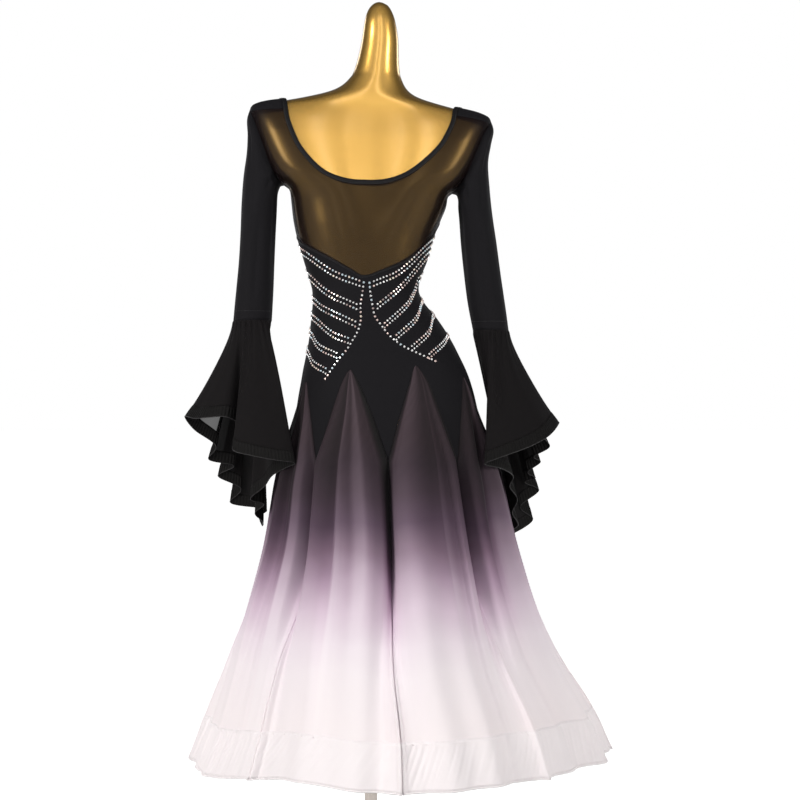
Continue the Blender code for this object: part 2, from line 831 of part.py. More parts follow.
def build_form(home, gold, metal):
    """The limbless form: one smooth body from its closed underside to the tip of its neck."""
    rings = []
    for z, left, right, back, front in reversed(FORM_UNDERSIDE):
        ring = []
        for column in range(FORM_COLUMNS):
            angle = 2 * math.pi * column / FORM_COLUMNS
            across = power(math.sin(angle), 2 / 2.2)
            away = power(math.cos(angle), 2 / 2.2)
            depth = back if away > 0 else front
            ring.append(Vector(((left + right) / 2 + (right - left) / 2 * across, -depth * away, z)))
        rings.append(ring)
    for height in FORM_HEIGHTS:
        ring = []
        for column in range(FORM_COLUMNS):
            turn = 360 * column / FORM_COLUMNS
            behind, in_front = blend(FORM_SET_IN, height)
            share = 0.5 - 0.5 * max(-1.0, min(1.0, 3 * math.cos(math.radians(turn))))
            set_in = behind + (in_front - behind) * share
            ring.append(smooth_point(turn, height) - body_normal(turn, height) * set_in)
        rings.append(ring)
    points = [point for ring in rings for point in ring]
    faces = []
    for row in range(len(rings) - 1):
        for column in range(FORM_COLUMNS):
            following = (column + 1) % FORM_COLUMNS
            low, high = row * FORM_COLUMNS, (row + 1) * FORM_COLUMNS
            faces.append([low + column, low + following, high + following, high + column])
    faces.append([column for column in range(FORM_COLUMNS)][::-1])
    top = len(points)
    points.append(Vector((15.0, 0.0, 1596.5)))
    last = (len(rings) - 1) * FORM_COLUMNS
    for column in range(FORM_COLUMNS):
        faces.append([last + column, last + (column + 1) % FORM_COLUMNS, top])
    add_object("form_torso", points, faces, gold, home)

    base = bpy.data.meshes.new("form_base")
    outline = [Vector((radius, 0, z)) * MM for radius, z in BASE_PROFILE]
    base.from_pydata(outline, [(i, i + 1) for i in range(len(outline) - 1)], [])
    base.materials.append(metal)
    plate = bpy.data.objects.new("form_base", base)
    home.objects.link(plate)
    turned = plate.modifiers.new("Turned", "SCREW")
    turned.steps = 40
    turned.render_steps = 40
    turned.use_merge_vertices = True
    turned.merge_threshold = 0.0001
    turned.use_smooth_shade = True

    add_rod("form_pole", POLE_RADIUS, BASE_PROFILE[0][1] + SEAM_GAP,
            FORM_FOOT_AT_POLE - SOCKET_LENGTH - 2 * SEAM_GAP, metal, home)
    add_rod("form_socket", SOCKET_RADIUS, FORM_FOOT_AT_POLE - SOCKET_LENGTH - SEAM_GAP,
            FORM_FOOT_AT_POLE - SEAM_GAP, metal, home)


def add_rod(name, radius, low, high, material, home):
    mesh = bpy.data.meshes.new(name)
    shape = bmesh.new()
    bmesh.ops.create_cone(shape, cap_ends=True, segments=32, radius1=radius * MM,
                          radius2=radius * MM, depth=(high - low) * MM)
    bmesh.ops.translate(shape, verts=shape.verts, vec=(0, 0, (low + high) / 2 * MM))
    shape.to_mesh(mesh)
    shape.free()
    mesh.materials.append(material)
    for polygon in mesh.polygons:
        polygon.use_smooth = len(polygon.vertices) == 4
    made = bpy.data.objects.new(name, mesh)
    home.objects.link(made)


def main():
    for old in list(bpy.data.objects):
        bpy.data.objects.remove(old)
    home = collection_of("ballroom_dance_dress")
    black = material_of("black_stretch_jersey", (0.012, 0.011, 0.013), 0.7)
    sheer = material_of("sheer_black_mesh", (0.03, 0.022, 0.017), 0.5)
    trim = material_of("black_binding", (0.008, 0.008, 0.009), 0.6)
    voile = material_of("black_georgette", (0.016, 0.015, 0.017), 0.75)
    ombre = material_of("ombre_georgette", (0.45, 0.37, 0.44), 0.8)
    hem = material_of("white_crinoline_hem", (0.88, 0.84, 0.85), 0.8)
    gold = material_of("gold_gloss", (0.72, 0.42, 0.12), 0.25, 0.6)
    metal = material_of("brushed_steel", (0.5, 0.46, 0.42), 0.35, 1.0)

    build_form(home, gold, metal)
    build_bodice(home, black, sheer, trim)
    build_skirt(home, ombre, hem)
    build_sleeve("sleeve_left", -1, SLEEVE_LEFT, home, black)
    build_sleeve("sleeve_right", 1, SLEEVE_RIGHT, home, black)
    build_flounce("left", -1, FLOUNCE_LEFT, SLEEVE_LEFT[-1], FLARE_LEFT, home, voile)
    build_flounce("right", 1, FLOUNCE_RIGHT, SLEEVE_RIGHT[-1], FLARE_RIGHT, home, voile)


main()
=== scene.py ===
import math

import bmesh
import bpy
import numpy as np
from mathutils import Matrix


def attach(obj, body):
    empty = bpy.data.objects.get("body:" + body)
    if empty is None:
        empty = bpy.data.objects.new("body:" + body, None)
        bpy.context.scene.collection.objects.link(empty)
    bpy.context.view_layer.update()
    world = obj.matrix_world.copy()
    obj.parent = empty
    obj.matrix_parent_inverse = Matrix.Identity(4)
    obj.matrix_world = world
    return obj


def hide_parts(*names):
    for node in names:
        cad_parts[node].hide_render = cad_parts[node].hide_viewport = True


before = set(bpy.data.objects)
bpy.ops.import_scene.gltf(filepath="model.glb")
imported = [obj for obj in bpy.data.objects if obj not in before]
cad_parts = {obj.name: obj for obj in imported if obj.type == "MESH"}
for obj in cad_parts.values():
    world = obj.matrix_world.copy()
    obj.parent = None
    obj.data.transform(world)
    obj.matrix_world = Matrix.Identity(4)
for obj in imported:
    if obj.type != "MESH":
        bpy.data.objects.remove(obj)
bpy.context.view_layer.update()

bl_info = {
    "name": "Ballroom dance dress",
    "version": (1, 0, 0),
    "blender": (4, 5, 0),
    "location": "3D View > Sidebar > Dress",
    "description": "Builds a ballroom dance dress with its stones on a limbless dress form",
    "category": "Object",
}

# Sizes are in millimetres until a mesh is made. The back faces -Y, the wearer's right side is +X
# and the floor is z = 0. A turn is an angle round the body in degrees: 0 at the middle of the
# back, 90 at the +X side, 180 at the front. A height is a tape measure's reading up the body: it
# equals z up to the shoulders and then runs on over the shoulder and up the neck.
MM = 0.001
WHOLE_TURN = np.array([360, 0])

# walls of the cloth, and how far its middle lies off the body
CLOTH_WALL = 0.5
HEM_WALL = 0.8
BAND_WALL = 0.9
JERSEY_LIFT = 1.5
MESH_LIFT = 1.3
GODET_LIFT = 1.1
POINT_MERGE = 0.02

BODY = (
    # height, z, left, right, back, front, squareness, slope
    (180, 180, -264, 381, 341, 322, 2.0, 0.0),
    (231, 231, -250, 364, 324, 306, 2.0, 0.0),
    (275, 275, -238, 349, 309, 292, 2.0, 0.0),
    (409, 409, -207, 290, 262, 248, 2.0, 0.0),
    (601, 601, -163, 239, 196, 182, 2.0, 0.0),
    (750, 750, -150, 215, 148, 132, 2.05, 0.0),
    (830, 830, -138, 198, 126, 108, 2.1, 0.0),
    (870, 870, -132, 189, 118, 99, 2.15, 0.0),
    (897, 897, -127, 181, 113, 94, 2.2, 0.0),
    (915, 915, -124, 174, 109, 91, 2.2, 0.0),
    (934, 934, -120, 165, 104, 88, 2.2, 0.0),
    (971, 971, -113, 146, 93, 82, 2.2, 0.0),
    (1008, 1008, -109, 122, 82, 77, 2.2, 0.0),
    (1045, 1045, -106, 93, 75, 75, 2.2, 0.0),
    (1063, 1063, -107, 86, 74, 75, 2.2, 0.0),
    (1082, 1082, -112, 89, 75, 78, 2.2, 0.0),
    (1119, 1119, -123, 103, 80, 88, 2.2, 0.0),
    (1156, 1156, -134, 113, 85, 100, 2.2, 0.0),
    (1193, 1193, -142, 127, 88, 107, 2.3, 0.01),
    (1225, 1225, -146, 138, 89, 106, 2.5, 0.035),
    (1240, 1240, -148, 140, 89, 103, 2.7, 0.045),
    (1246, 1246, -152, 143, 89, 101, 2.8, 0.048),
    (1251, 1251, -160, 149, 88, 99, 2.9, 0.05),
    (1257, 1257, -169, 158, 88, 97, 3.0, 0.052),
    (1268, 1268, -180, 169, 86, 93, 3.2, 0.052),
    (1290, 1290, -191, 182, 83, 85, 3.4, 0.052),
    (1330, 1330, -206, 200, 76, 70, 3.6, 0.052),
    (1360, 1360, -216, 211, 68, 58, 3.6, 0.052),
    (1382, 1382, -222, 220, 60, 50, 3.4, 0.052),
    (1391, 1390, -219, 218, 57, 47, 3.2, 0.052),
    (1402, 1396, -209, 208, 54, 45, 3.1, 0.052),
    (1420, 1401, -192, 191, 53, 44, 2.9, 0.052),
    (1450, 1406, -163, 162, 52, 43, 2.7, 0.052),
    (1480, 1412, -133, 134, 51, 43, 2.4, 0.052),
    (1510, 1420, -100, 94, 50, 42, 2.2, 0.05),
    (1535, 1429, -68, 72, 48, 41, 2.0, 0.045),
    (1556, 1441, -48, 60, 45, 39, 2.0, 0.03),
    (1575, 1458, -36, 55, 41, 36, 2.0, 0.02),
    (1600, 1483, -27, 52, 37, 34, 2.0, 0.0),
    (1640, 1522, -18, 51, 32, 31, 2.0, 0.0),
    (1680, 1561, -12, 45, 27, 26, 2.0, 0.0),
    (1700, 1580, -6, 38, 20, 20, 2.0, 0.0),
    (1712, 1590, 1, 31, 13, 13, 2.0, 0.0),
    (1720, 1595, 8, 22, 6, 6, 2.0, 0.0),
)
BODY_MIDDLE = (18.0, 0.0)

FORM_UNDERSIDE = (
    # z, left, right, back, front
    (804, -20, 44, 26, 22),
    (807, -50, 84, 52, 42),
    (814, -80, 122, 74, 58),
    (826, -102, 150, 92, 73),
    (842, -116, 167, 104, 84),
    (860, -121, 174, 108, 87),
    (880, -124, 178, 110, 89),
    (897, -124, 178, 110, 89),
)
FORM_SET_IN = (
    # height, behind, in front
    (915, 2.3, 3.6),
    (1225, 2.3, 3.8),
    (1290, 2.8, 4.6),
    (1400, 2.9, 5.4),
    (1450, 2.4, 4.6),
    (1500, 1.0, 1.5),
    (1540, 0.2, 0.2),
)
FORM_TIP = (15.0, 0.0, 1596.5)
FORM_FOOT = (12.0, 2.0, 803.9)
FORM_SQUARENESS = 2.2
BLADES_HOLLOW = 5.0

BASE_PROFILE = (
    # radius, z
    (0.0, 44.0), (17.0, 44.0), (19.5, 43.6), (21.0, 42.0), (21.0, 24.0), (21.0, 17.0),
    (21.8, 14.4), (24.0, 13.0), (30.0, 12.7), (120.0, 10.3), (162.0, 9.1), (167.0, 8.9),
    (171.5, 7.8), (174.2, 5.6), (175.0, 3.4), (174.6, 1.0), (173.4, 0.0), (160.0, 0.0),
    (0.0, 0.0),
)
POLE_PROFILE = (
    (0.0, 777.4), (11.2, 777.4), (12.0, 776.6), (12.0, 770.0), (12.0, 50.0), (12.0, 45.0),
    (11.4, 44.3), (0.0, 44.3),
)
SOCKET_PROFILE = (
    (0.0, 803.7), (18.0, 803.7), (19.0, 802.7), (19.0, 800.0), (19.0, 782.0), (19.0, 778.7),
    (18.0, 777.7), (0.0, 777.7),
)

GODETS = (
    # name, first seam, last seam, apex height, fullness, lean, roundness, ripple, start, slant
    ("back_left", -44, 0, 914, 1.05, 1.45, 0.42, 0.09, 0.4, 0.42),
    ("back_right", 0, 42, 922, 1.00, 0.80, 0.62, 0.10, 2.2, 0.3),
    ("right_back", 42, 90, 901, 0.98, 1.25, 0.55, 0.10, 4.1, 0.16),
    ("right_front", 90, 135, 904, 1.02, 0.85, 0.55, 0.11, 1.3, -0.2),
    ("front_right", 135, 180, 908, 0.97, 1.15, 0.60, 0.09, 3.6, 0.34),
    ("front_left", 180, 225, 906, 1.03, 0.90, 0.50, 0.11, 5.2, 0.22),
    ("left_front", 225, 270, 903, 1.00, 1.20, 0.55, 0.10, 0.9, -0.28),
    ("left_back", 270, 316, 892, 1.04, 0.75, 0.50, 0.10, 2.9, 0.08),
)
FLUTE_DEPTH = (
    # height, depth
    (180, 66.0), (275, 56.0), (409, 42.0), (601, 26.0), (750, 13.0), (840, 6.0), (930, 0.0),
)
FLUTE_BULGE = (
    # height, how far a flute's sides lean over its seams
    (180, 4.0), (300, 6.0), (409, 8.5), (601, 9.5), (750, 4.0), (850, 0.0),
)
TONGUE_TIP = 750
ARCH = 0.66
HEM_SEAM = 280
HEM = 200
HEM_LIFT = (
    # turn, lift
    (-44, 3.0), (-30, 9.0), (0, -3.0), (20, 2.0), (42, 5.0), (80, 14.0), (110, 15.0), (150, 2.0),
    (180, -3.0), (225, 3.0), (270, -2.0), (296, -9.0), (316, 3.0),
)
FOLDS = (
    # for each godet: share across, push half way down, push at the hem
    ((0.00, 0, 0), (0.05, -4, -2), (0.12, 13, 6), (0.17, 15, 7), (0.34, 6, 4), (0.45, -3, -2),
     (0.50, 2, 1), (0.62, 15, 7), (0.74, 13, 6), (0.88, 0, -2), (1.00, 0, 0)),
    ((0.00, 0, 0), (0.06, -2, -1), (0.14, 12, 6), (0.26, 19, 8), (0.40, 15, 7), (0.58, 3, 2),
     (0.68, -5, -4), (0.73, -4, -3), (0.80, 8, 6), (0.86, 8, 4), (0.94, -3, -2), (1.00, 0, 0)),
    ((0.00, 0, 0), (0.07, 4, 3), (0.16, 16, 7), (0.22, 14, 6), (0.36, -6, -4), (0.42, -5, -4),
     (0.52, 13, 7), (0.62, 9, 4), (0.76, -7, -4), (0.88, 8, 5), (1.00, 0, 0)),
    ((0.00, 0, 0), (0.12, 13, 6), (0.30, -6, -4), (0.42, 10, 5), (0.53, 15, 7), (0.66, -6, -3),
     (0.80, 11, 6), (0.92, -2, -1), (1.00, 0, 0)),
    ((0.00, 0, 0), (0.10, -3, -1), (0.22, 14, 7), (0.36, 10, 5), (0.50, -6, -4), (0.62, 12, 6),
     (0.78, 15, 7), (0.90, -3, -2), (1.00, 0, 0)),
    ((0.00, 0, 0), (0.09, 7, 4), (0.20, 14, 6), (0.32, -5, -4), (0.47, 14, 7), (0.58, 12, 5),
     (0.70, -6, -4), (0.86, 13, 6), (1.00, 0, 0)),
    ((0.00, 0, 0), (0.12, 11, 5), (0.26, -5, -3), (0.40, 14, 6), (0.53, 10, 5), (0.64, -6, -4),
     (0.80, 14, 7), (0.92, 5, 3), (1.00, 0, 0)),
    ((0.00, 0, 0), (0.10, 11, 5), (0.24, -6, -4), (0.36, 6, 4), (0.50, 15, 7), (0.56, -4, -3),
     (0.64, -4, -3), (0.72, 15, 6), (0.84, 12, 5), (0.93, -3, -2), (1.00, 0, 0)),
)
FOLD_SHADE = (
    # for each godet: share across, how much painted shade darkens its fold faces and valleys there
    ((0.00, 0.42), (0.06, 0.24), (0.16, 0.21), (0.28, 0.29), (0.37, 0.37), (0.415, 0.34),
     (0.432, 0.04), (0.49, 0.11), (0.56, 0.17), (0.63, 0.03), (0.68, 0.00), (0.74, 0.15),
     (0.84, 0.18), (0.91, 0.50), (0.96, 0.85), (1.00, 0.70)),
    ((0.00, 0.70), (0.05, 0.32), (0.10, 0.04), (0.20, 0.06), (0.32, 0.13), (0.42, 0.22),
     (0.52, 0.30), (0.585, 0.28), (0.60, 0.17), (0.70, 0.27), (0.82, 0.19), (0.90, 0.42),
     (0.95, 0.62), (1.00, 0.55)),
    ((0.00, 0.50), (0.10, 0.33), (0.20, 0.42), (0.30, 0.48), (0.40, 0.30), (0.46, 0.05),
     (0.56, 0.02), (0.70, 0.12), (0.74, 0.26), (0.86, 0.12), (1.00, 0.36)),
    ((0.00, 0.34), (0.10, 0.08), (0.24, 0.26), (0.29, 0.38), (0.31, 0.10), (0.48, 0.02),
     (0.62, 0.24), (0.78, 0.05), (0.90, 0.22), (1.00, 0.48)),
    ((0.00, 0.48), (0.08, 0.24), (0.20, 0.03), (0.38, 0.12), (0.52, 0.36), (0.54, 0.08),
     (0.72, 0.02), (0.86, 0.20), (1.00, 0.56)),
    ((0.00, 0.56), (0.08, 0.20), (0.18, 0.04), (0.31, 0.30), (0.33, 0.06), (0.50, 0.03),
     (0.68, 0.28), (0.84, 0.06), (0.94, 0.30), (1.00, 0.50)),
    ((0.00, 0.50), (0.12, 0.06), (0.26, 0.25), (0.36, 0.06), (0.52, 0.14), (0.63, 0.34),
     (0.65, 0.08), (0.80, 0.03), (0.92, 0.18), (1.00, 0.40)),
    ((0.00, 0.42), (0.12, 0.20), (0.30, 0.34), (0.50, 0.38), (0.68, 0.42), (0.735, 0.42),
     (0.755, 0.05), (0.85, 0.07), (0.93, 0.16), (1.00, 0.40)),
)
VALLEY = (
    # height, how far the seams between godets sink; at the hem they rise, so that the flutes open
    (200, -42.0), (300, -36.0), (400, -22.0), (480, -3.0), (560, 13.0), (610, 20.0), (690, 18.0),
    (735, 6.0), (755, 0.0),
)
SEAM_FILL = (
    # height, how far the very edges of two godets stand out to close the notch between them
    (200, 19.0), (300, 16.0), (400, 11.0), (480, 5.0), (560, 0.0),
)
SEAM_FILL_WIDTH = 0.021

BODICE_POINT = (
    # turn, height of the upper edge of the black back
    (-90, 1162), (-60, 1142), (-32, 1118), (-12, 1097), (0, 1085), (14, 1094), (45, 1120),
    (70, 1153), (90, 1188),
)
ARMHOLE_FOOT = 1251
ARMHOLE_TOP = 1390
ARMHOLE_SPREAD = 18.0
SHOULDER_STRIP = 0.8125
NECK_BACK = (
    # x, height
    (-158, 1446), (-154, 1424), (-153, 1400), (-151, 1385), (-149, 1371), (-130, 1324),
    (-102, 1289), (-76, 1270), (-43, 1260), (0, 1259), (37, 1265), (70, 1281), (102, 1308),
    (130, 1341), (147, 1378), (149, 1390), (150, 1402), (152, 1424), (156, 1446),
)
NECK_FRONT = (
    # x, height
    (158, 1450), (153, 1432), (146, 1400), (128, 1366), (96, 1344), (50, 1331), (0, 1327),
    (-50, 1331), (-96, 1344), (-128, 1366), (-146, 1400), (-153, 1432), (-158, 1450),
)
BINDING_WIDTH = 8.5
BINDING_SECTION = (
    # share across the binding, lift off the body
    (0.0, 0.5), (-0.02, 1.3), (0.08, 2.2), (0.35, 2.7), (0.65, 2.7), (0.92, 2.2), (1.02, 1.4),
    (1.0, 0.6), (0.5, 0.4),
)
POINT_EDGE_SECTION = (
    # share across the strip on the bodice's point, lift off the body
    (0.0, 1.0), (0.1, 2.1), (0.5, 2.6), (0.9, 2.1), (1.0, 1.0), (0.5, 0.8),
)
YOKE_CUT = (400, 290)

SLEEVE_LEFT = (
    # outer x, outer z, inner x, inner z, half depth, squareness
    (-228, 1378, -168, 1256, 42, 3.2),
    (-227, 1348, -171, 1250, 46, 3.0),
    (-229, 1314, -173, 1243, 49, 2.6),
    (-235, 1272, -174, 1232, 46, 2.3),
    (-239, 1222, -175, 1205, 43, 2.0),
    (-241, 1170, -177, 1165, 40, 2.0),
    (-244, 1118, -179, 1118, 38, 2.0),
    (-249, 1063, -181, 1063, 36, 2.0),
    (-254, 1007, -184, 1007, 35, 2.0),
)
SLEEVE_RIGHT = (
    # outer x, outer z, inner x, inner z, half depth, squareness
    (226, 1357, 158, 1240, 42, 3.2),
    (221, 1330, 161, 1234, 46, 3.0),
    (216, 1296, 162, 1227, 49, 2.6),
    (219, 1250, 162, 1214, 46, 2.3),
    (224, 1204, 164, 1190, 43, 2.0),
    (232, 1150, 167, 1147, 40, 2.0),
    (239, 1098, 172, 1098, 38, 2.0),
    (247, 1042, 179, 1042, 36, 2.0),
    (254, 989, 189, 989, 35, 2.0),
)
SLEEVE_CREASES = (
    # angle from the outer side, share down at its top, share at its foot, drift, depth, width
    (40, 0.10, 0.45, 14, -2.6, 9),
    (74, 0.16, 0.62, -10, -3.0, 12),
    (105, 0.05, 0.34, 22, 2.4, 10),
    (128, 0.08, 0.50, -16, -3.0, 9),
    (150, 0.30, 0.92, 8, -2.2, 12),
    (62, 0.48, 0.97, 12, 1.8, 11),
    (98, 0.55, 0.98, -8, -2.2, 9),
    (205, 0.10, 0.55, 12, -2.6, 11),
    (236, 0.22, 0.80, -9, 2.4, 12),
    (262, 0.05, 0.42, 15, -3.0, 10),
    (292, 0.35, 0.95, 7, -2.4, 11),
    (325, 0.12, 0.60, -10, 2.0, 12),
    (352, 0.40, 0.96, 6, -1.6, 10),
)

FLOUNCE_LEFT = (
    # cuff turn, x, y, z
    (0, -344, 0, 829), (14, -322, -36, 826), (28, -296, -58, 828), (42, -262, -66, 829),
    (54, -238, -52, 814), (64, -240, -82, 792), (76, -247, -108, 770), (92, -213, -120, 760),
    (108, -172, -118, 752), (126, -137, -104, 746), (138, -154, -84, 737), (148, -180, -62, 722),
    (158, -196, -40, 701), (170, -222, -24, 678), (182, -198, -6, 668), (194, -216, 14, 650),
    (206, -203, 32, 634), (218, -205, 58, 624), (232, -212, 86, 640), (246, -202, 112, 653),
    (262, -268, 122, 664), (275, -247, 104, 692), (289, -290, 96, 716), (302, -259, 78, 736),
    (317, -305, 68, 748), (332, -290, 46, 774), (346, -328, 26, 804),
)
FLOUNCE_RIGHT = (
    # cuff turn, x, y, z
    (0, 347, 0, 818), (16, 335, -42, 803), (34, 316, -72, 789), (52, 284, -98, 774),
    (70, 250, -116, 762), (86, 222, -120, 752), (98, 207, -110, 744), (114, 240, -66, 735),
    (130, 262, -30, 720), (144, 257, -6, 700), (158, 272, 18, 676), (172, 264, 42, 650),
    (186, 276, 66, 626), (200, 263, 92, 613), (216, 272, 118, 608), (231, 307, 134, 632),
    (244, 282, 116, 657), (256, 317, 116, 688), (268, 290, 100, 704), (279, 309, 92, 713),
    (291, 294, 78, 724), (303, 317, 68, 743), (316, 304, 52, 754), (331, 332, 38, 772),
    (345, 322, 20, 793),
)
FLARE_LEFT = (1.02, 0.43, 0.0)
FLARE_RIGHT = (1.2, 0.2, 0.2)
FLOUNCE_BAND = 22.0
FLOUNCE_FAR_SIDE = 340
FLOUNCE_NEAR_PATCH = 78
BAND_GATHER_PITCH = 6.2
HEM_GATHER_PITCH = 11.0

STONE_BORDERS = (
    # x and z of each point, from the bodice's point down to the hip
    ((-12, 1074), (-15, 1051), (-18, 1031), (-17, 1006), (-22, 986), (-31, 969), (-42, 951),
     (-55, 935), (-69, 916), (-81, 898)),
    ((-2, 1073), (0, 1052), (4, 1031), (8, 1012), (19, 996), (32, 979), (46, 966), (65, 954),
     (86, 944), (106, 935), (117, 930)),
)
STONE_ROWS = (
    # x and z at the border, half way and at the side, and the second row's step down
    ((-20, 1077), (-69, 1097), (-123, 1137), 9.4),
    ((-25, 1034), (-77, 1060), (-110, 1091), 9.4),
    ((-27, 1002), (-84, 1031), (-101, 1046), 9.4),
    ((-40, 972), (-70, 985), (-102, 1014), 9.4),
    ((-60, 945), (-92, 961), (-106, 983), 9.4),
    ((-80, 917), (-103, 931), (-112, 950), 9.4),
    ((6, 1076), (55, 1100), (109, 1154), 8.4),
    ((13, 1034), (54, 1070), (100, 1128), 8.4),
    ((26, 999), (68, 1040), (85, 1085), 8.4),
    ((47, 977), (82, 1011), (92, 1042), 8.4),
    ((75, 957), (105, 986), (112, 1014), 8.4),
    ((106, 943), (131, 966), (140, 982), 8.4),
)
STONE_SIDE = 97.0
STONE_LIFT = 2.35
STITCH_STEP = 1.3


def linear(code):
    """A hex colour of sRGB as linear red, green and blue."""
    parts = [int(code[place:place + 2], 16) / 255 for place in (1, 3, 5)]
    return tuple(c / 12.92 if c <= 0.04045 else ((c + 0.055) / 1.055) ** 2.4 for c in parts)


# ---------------------------------------------------------------- shape of the body and cloth


def blend(rows, at):
    """The columns of a table at values of its first column, on curves that never overshoot."""
    table = np.array(rows, float)
    places, values = table[:, 0], table[:, 1:]
    steps = np.diff(places)
    rises = np.diff(values, axis=0) / steps[:, None]
    slopes = np.empty_like(values)
    slopes[0], slopes[-1] = rises[0], rises[-1]
    product = rises[:-1] * rises[1:]
    same_way = product > 0
    total = np.where(same_way, rises[:-1] + rises[1:], 1.0)
    slopes[1:-1] = np.where(same_way, 2 * product / total, 0.0)
    at = np.clip(np.asarray(at, float), places[0], places[-1])
    index = np.clip(np.searchsorted(places, at, side="right") - 1, 0, len(places) - 2)
    share = ((at - places[index]) / steps[index])[..., None]
    step = steps[index][..., None]
    square, cube = share ** 2, share ** 3
    found = (
        (2 * cube - 3 * square + 1) * values[index]
        + (cube - 2 * square + share) * step * slopes[index]
        + (3 * square - 2 * cube) * values[index + 1]
        + (cube - square) * step * slopes[index + 1]
    )
    return np.moveaxis(found, -1, 0)


def power(value, exponent):
    """A power that keeps the sign."""
    return np.sign(value) * np.abs(value) ** exponent


def body_surface(turn, height):
    """Points of the body, with the skirt as smooth as a bell."""
    turn, height = np.broadcast_arrays(np.asarray(turn, float), np.asarray(height, float))
    z, left, right, back, front, squareness, slope = blend(BODY, height)
    angle = np.radians(turn)
    across = power(np.sin(angle), 2 / squareness)
    away = power(np.cos(angle), 2 / squareness)
    x = (left + right) / 2 + (right - left) / 2 * across
    depth = np.where(away > 0, back, front)
    return np.stack([x, -depth * away, z - slope * x], axis=-1)


def body_outward(turn, height):
    """Unit vectors off the body's surface."""
    sideways = body_surface(turn + 1.2, height) - body_surface(turn - 1.2, height)
    upwards = body_surface(turn, height + 2.0) - body_surface(turn, height - 2.0)
    return unit(np.cross(sideways, upwards))


def unit(vectors):
    return vectors / np.maximum(np.linalg.norm(vectors, axis=-1, keepdims=True), 1e-9)


def on_body(places, lift):
    """Points a little off the body, from places given as turn and height."""
    places = np.asarray(places, float)
    turn, height = places[..., 0], places[..., 1]
    return body_surface(turn, height) + body_outward(turn, height) * lift


def turn_at(x, height, on_front=False):
    """The turn at which the body reaches this x."""
    _, left, right, _, _, squareness, _ = blend(BODY, height)
    share = np.clip((x - (left + right) / 2) / ((right - left) / 2), -1.0, 1.0)
    turn = np.degrees(np.arcsin(power(share, squareness / 2)))
    return 180 - turn if on_front else turn


def smooth_line(points, count, closed=False):
    """A smooth course through points or rings, in this many equal parts."""
    points = np.asarray(points, float)
    parts = len(points) if closed else len(points) - 1
    at = np.linspace(0, parts, count if closed else count + 1, endpoint=not closed)
    index = np.minimum(at.astype(int), parts - 1)
    share = (at - index).reshape((-1,) + (1,) * (points.ndim - 1))
    if closed:
        around = [points[(index + step) % len(points)] for step in (-1, 0, 1, 2)]
    else:
        longer = np.concatenate([2 * points[:1] - points[1:2], points,
                                 2 * points[-1:] - points[-2:-1]])
        around = [longer[index + step] for step in (0, 1, 2, 3)]
    p0, p1, p2, p3 = around
    return 0.5 * (
        2 * p1
        + (p2 - p0) * share
        + (2 * p0 - 5 * p1 + 4 * p2 - p3) * share ** 2
        + (3 * p1 - p0 - 3 * p2 + p3) * share ** 3
    )


def lengths(points):
    """The length run along a line of points at each of them."""
    steps = np.linalg.norm(np.diff(points, axis=0), axis=1)
    return np.concatenate([[0.0], np.cumsum(steps)])


def place_shares(places):
    """The share of a line's length at each of its places."""
    run = lengths(body_surface(places[:, 0], places[:, 1]))
    return run / run[-1]


def matched(line, shares):
    """The places on a line at these shares of its length."""
    own = place_shares(line)
    return np.stack([np.interp(shares, own, line[:, column]) for column in (0, 1)], axis=-1)


def between(first, last, rows):
    """Rows of places from one line of places to another."""
    share = np.linspace(0, 1, rows + 1)[:, None, None]
    return np.asarray(first)[None] * (1 - share) + np.asarray(last)[None] * share


def moved_out(places, distance):
    """A closed line of places moved away from the neck over the body's surface."""
    turn, height = places[:, 0], places[:, 1]
    spot = body_surface(turn, height)
    along = np.roll(spot, -1, axis=0) - np.roll(spot, 1, axis=0)
    away = unit(np.cross(along, body_outward(turn, height))) * distance
    sideways = body_surface(turn + 0.5, height) - body_surface(turn - 0.5, height)
    upwards = body_surface(turn, height + 0.5) - body_surface(turn, height - 0.5)
    ss, uu = (sideways ** 2).sum(-1), (upwards ** 2).sum(-1)
    su, sa, ua = (sideways * upwards).sum(-1), (sideways * away).sum(-1), (upwards * away).sum(-1)
    span = ss * uu - su * su
    return np.stack([turn + (sa * uu - ua * su) / span, height + (ua * ss - sa * su) / span], -1)


def ease(value):
    """A soft step from 0 to 1."""
    value = np.clip(value, 0.0, 1.0)
    return value * value * (3 - 2 * value)


def armhole(side, on_front, steps):
    """Places from the foot of an armhole to its top. side is -1 for the left, 1 for the right."""
    angle = np.linspace(0, math.pi, steps + 1)
    spread = ARMHOLE_SPREAD * np.maximum(np.sin(angle), 0) ** 0.8
    height = ARMHOLE_FOOT + (ARMHOLE_TOP - ARMHOLE_FOOT) * (1 - np.cos(angle)) / 2
    turn = 90 + spread if on_front else 90 - spread
    return np.stack([side * turn, height], axis=-1)


def tongue_edge(first_turn, last_turn):
    """The lower edge of the black cloth between two turns: tongue, arch, tongue and so on."""
    edge = []
    for _, first, last, apex, *_ in GODETS:
        whole = 0
        if first < first_turn - 0.1:
            whole = 360
        if first + whole >= last_turn - 0.1:
            whole -= 360
        if not first_turn - 0.1 <= first + whole < last_turn - 0.1:
            continue
        for step in range(33):
            share = abs(step - 16) / 16
            turn = first + whole + (last - first) * step / 32
            edge.append((round(turn, 6), apex - (apex - TONGUE_TIP) * share ** (1 / ARCH)))
    return np.array(sorted(set(edge)))


def wander(index, share, height):
    """How far a crease of a godet strays to the side on its way down."""
    return 0.02 * np.sin(height / 97 + 1.3 * index) * np.sin(math.pi * share)


def near_seams(share, width):
    """1 at a godet's two seams, falling away over this share of its width."""
    return np.exp(-(share / width) ** 2) + np.exp(-((1 - share) / width) ** 2)


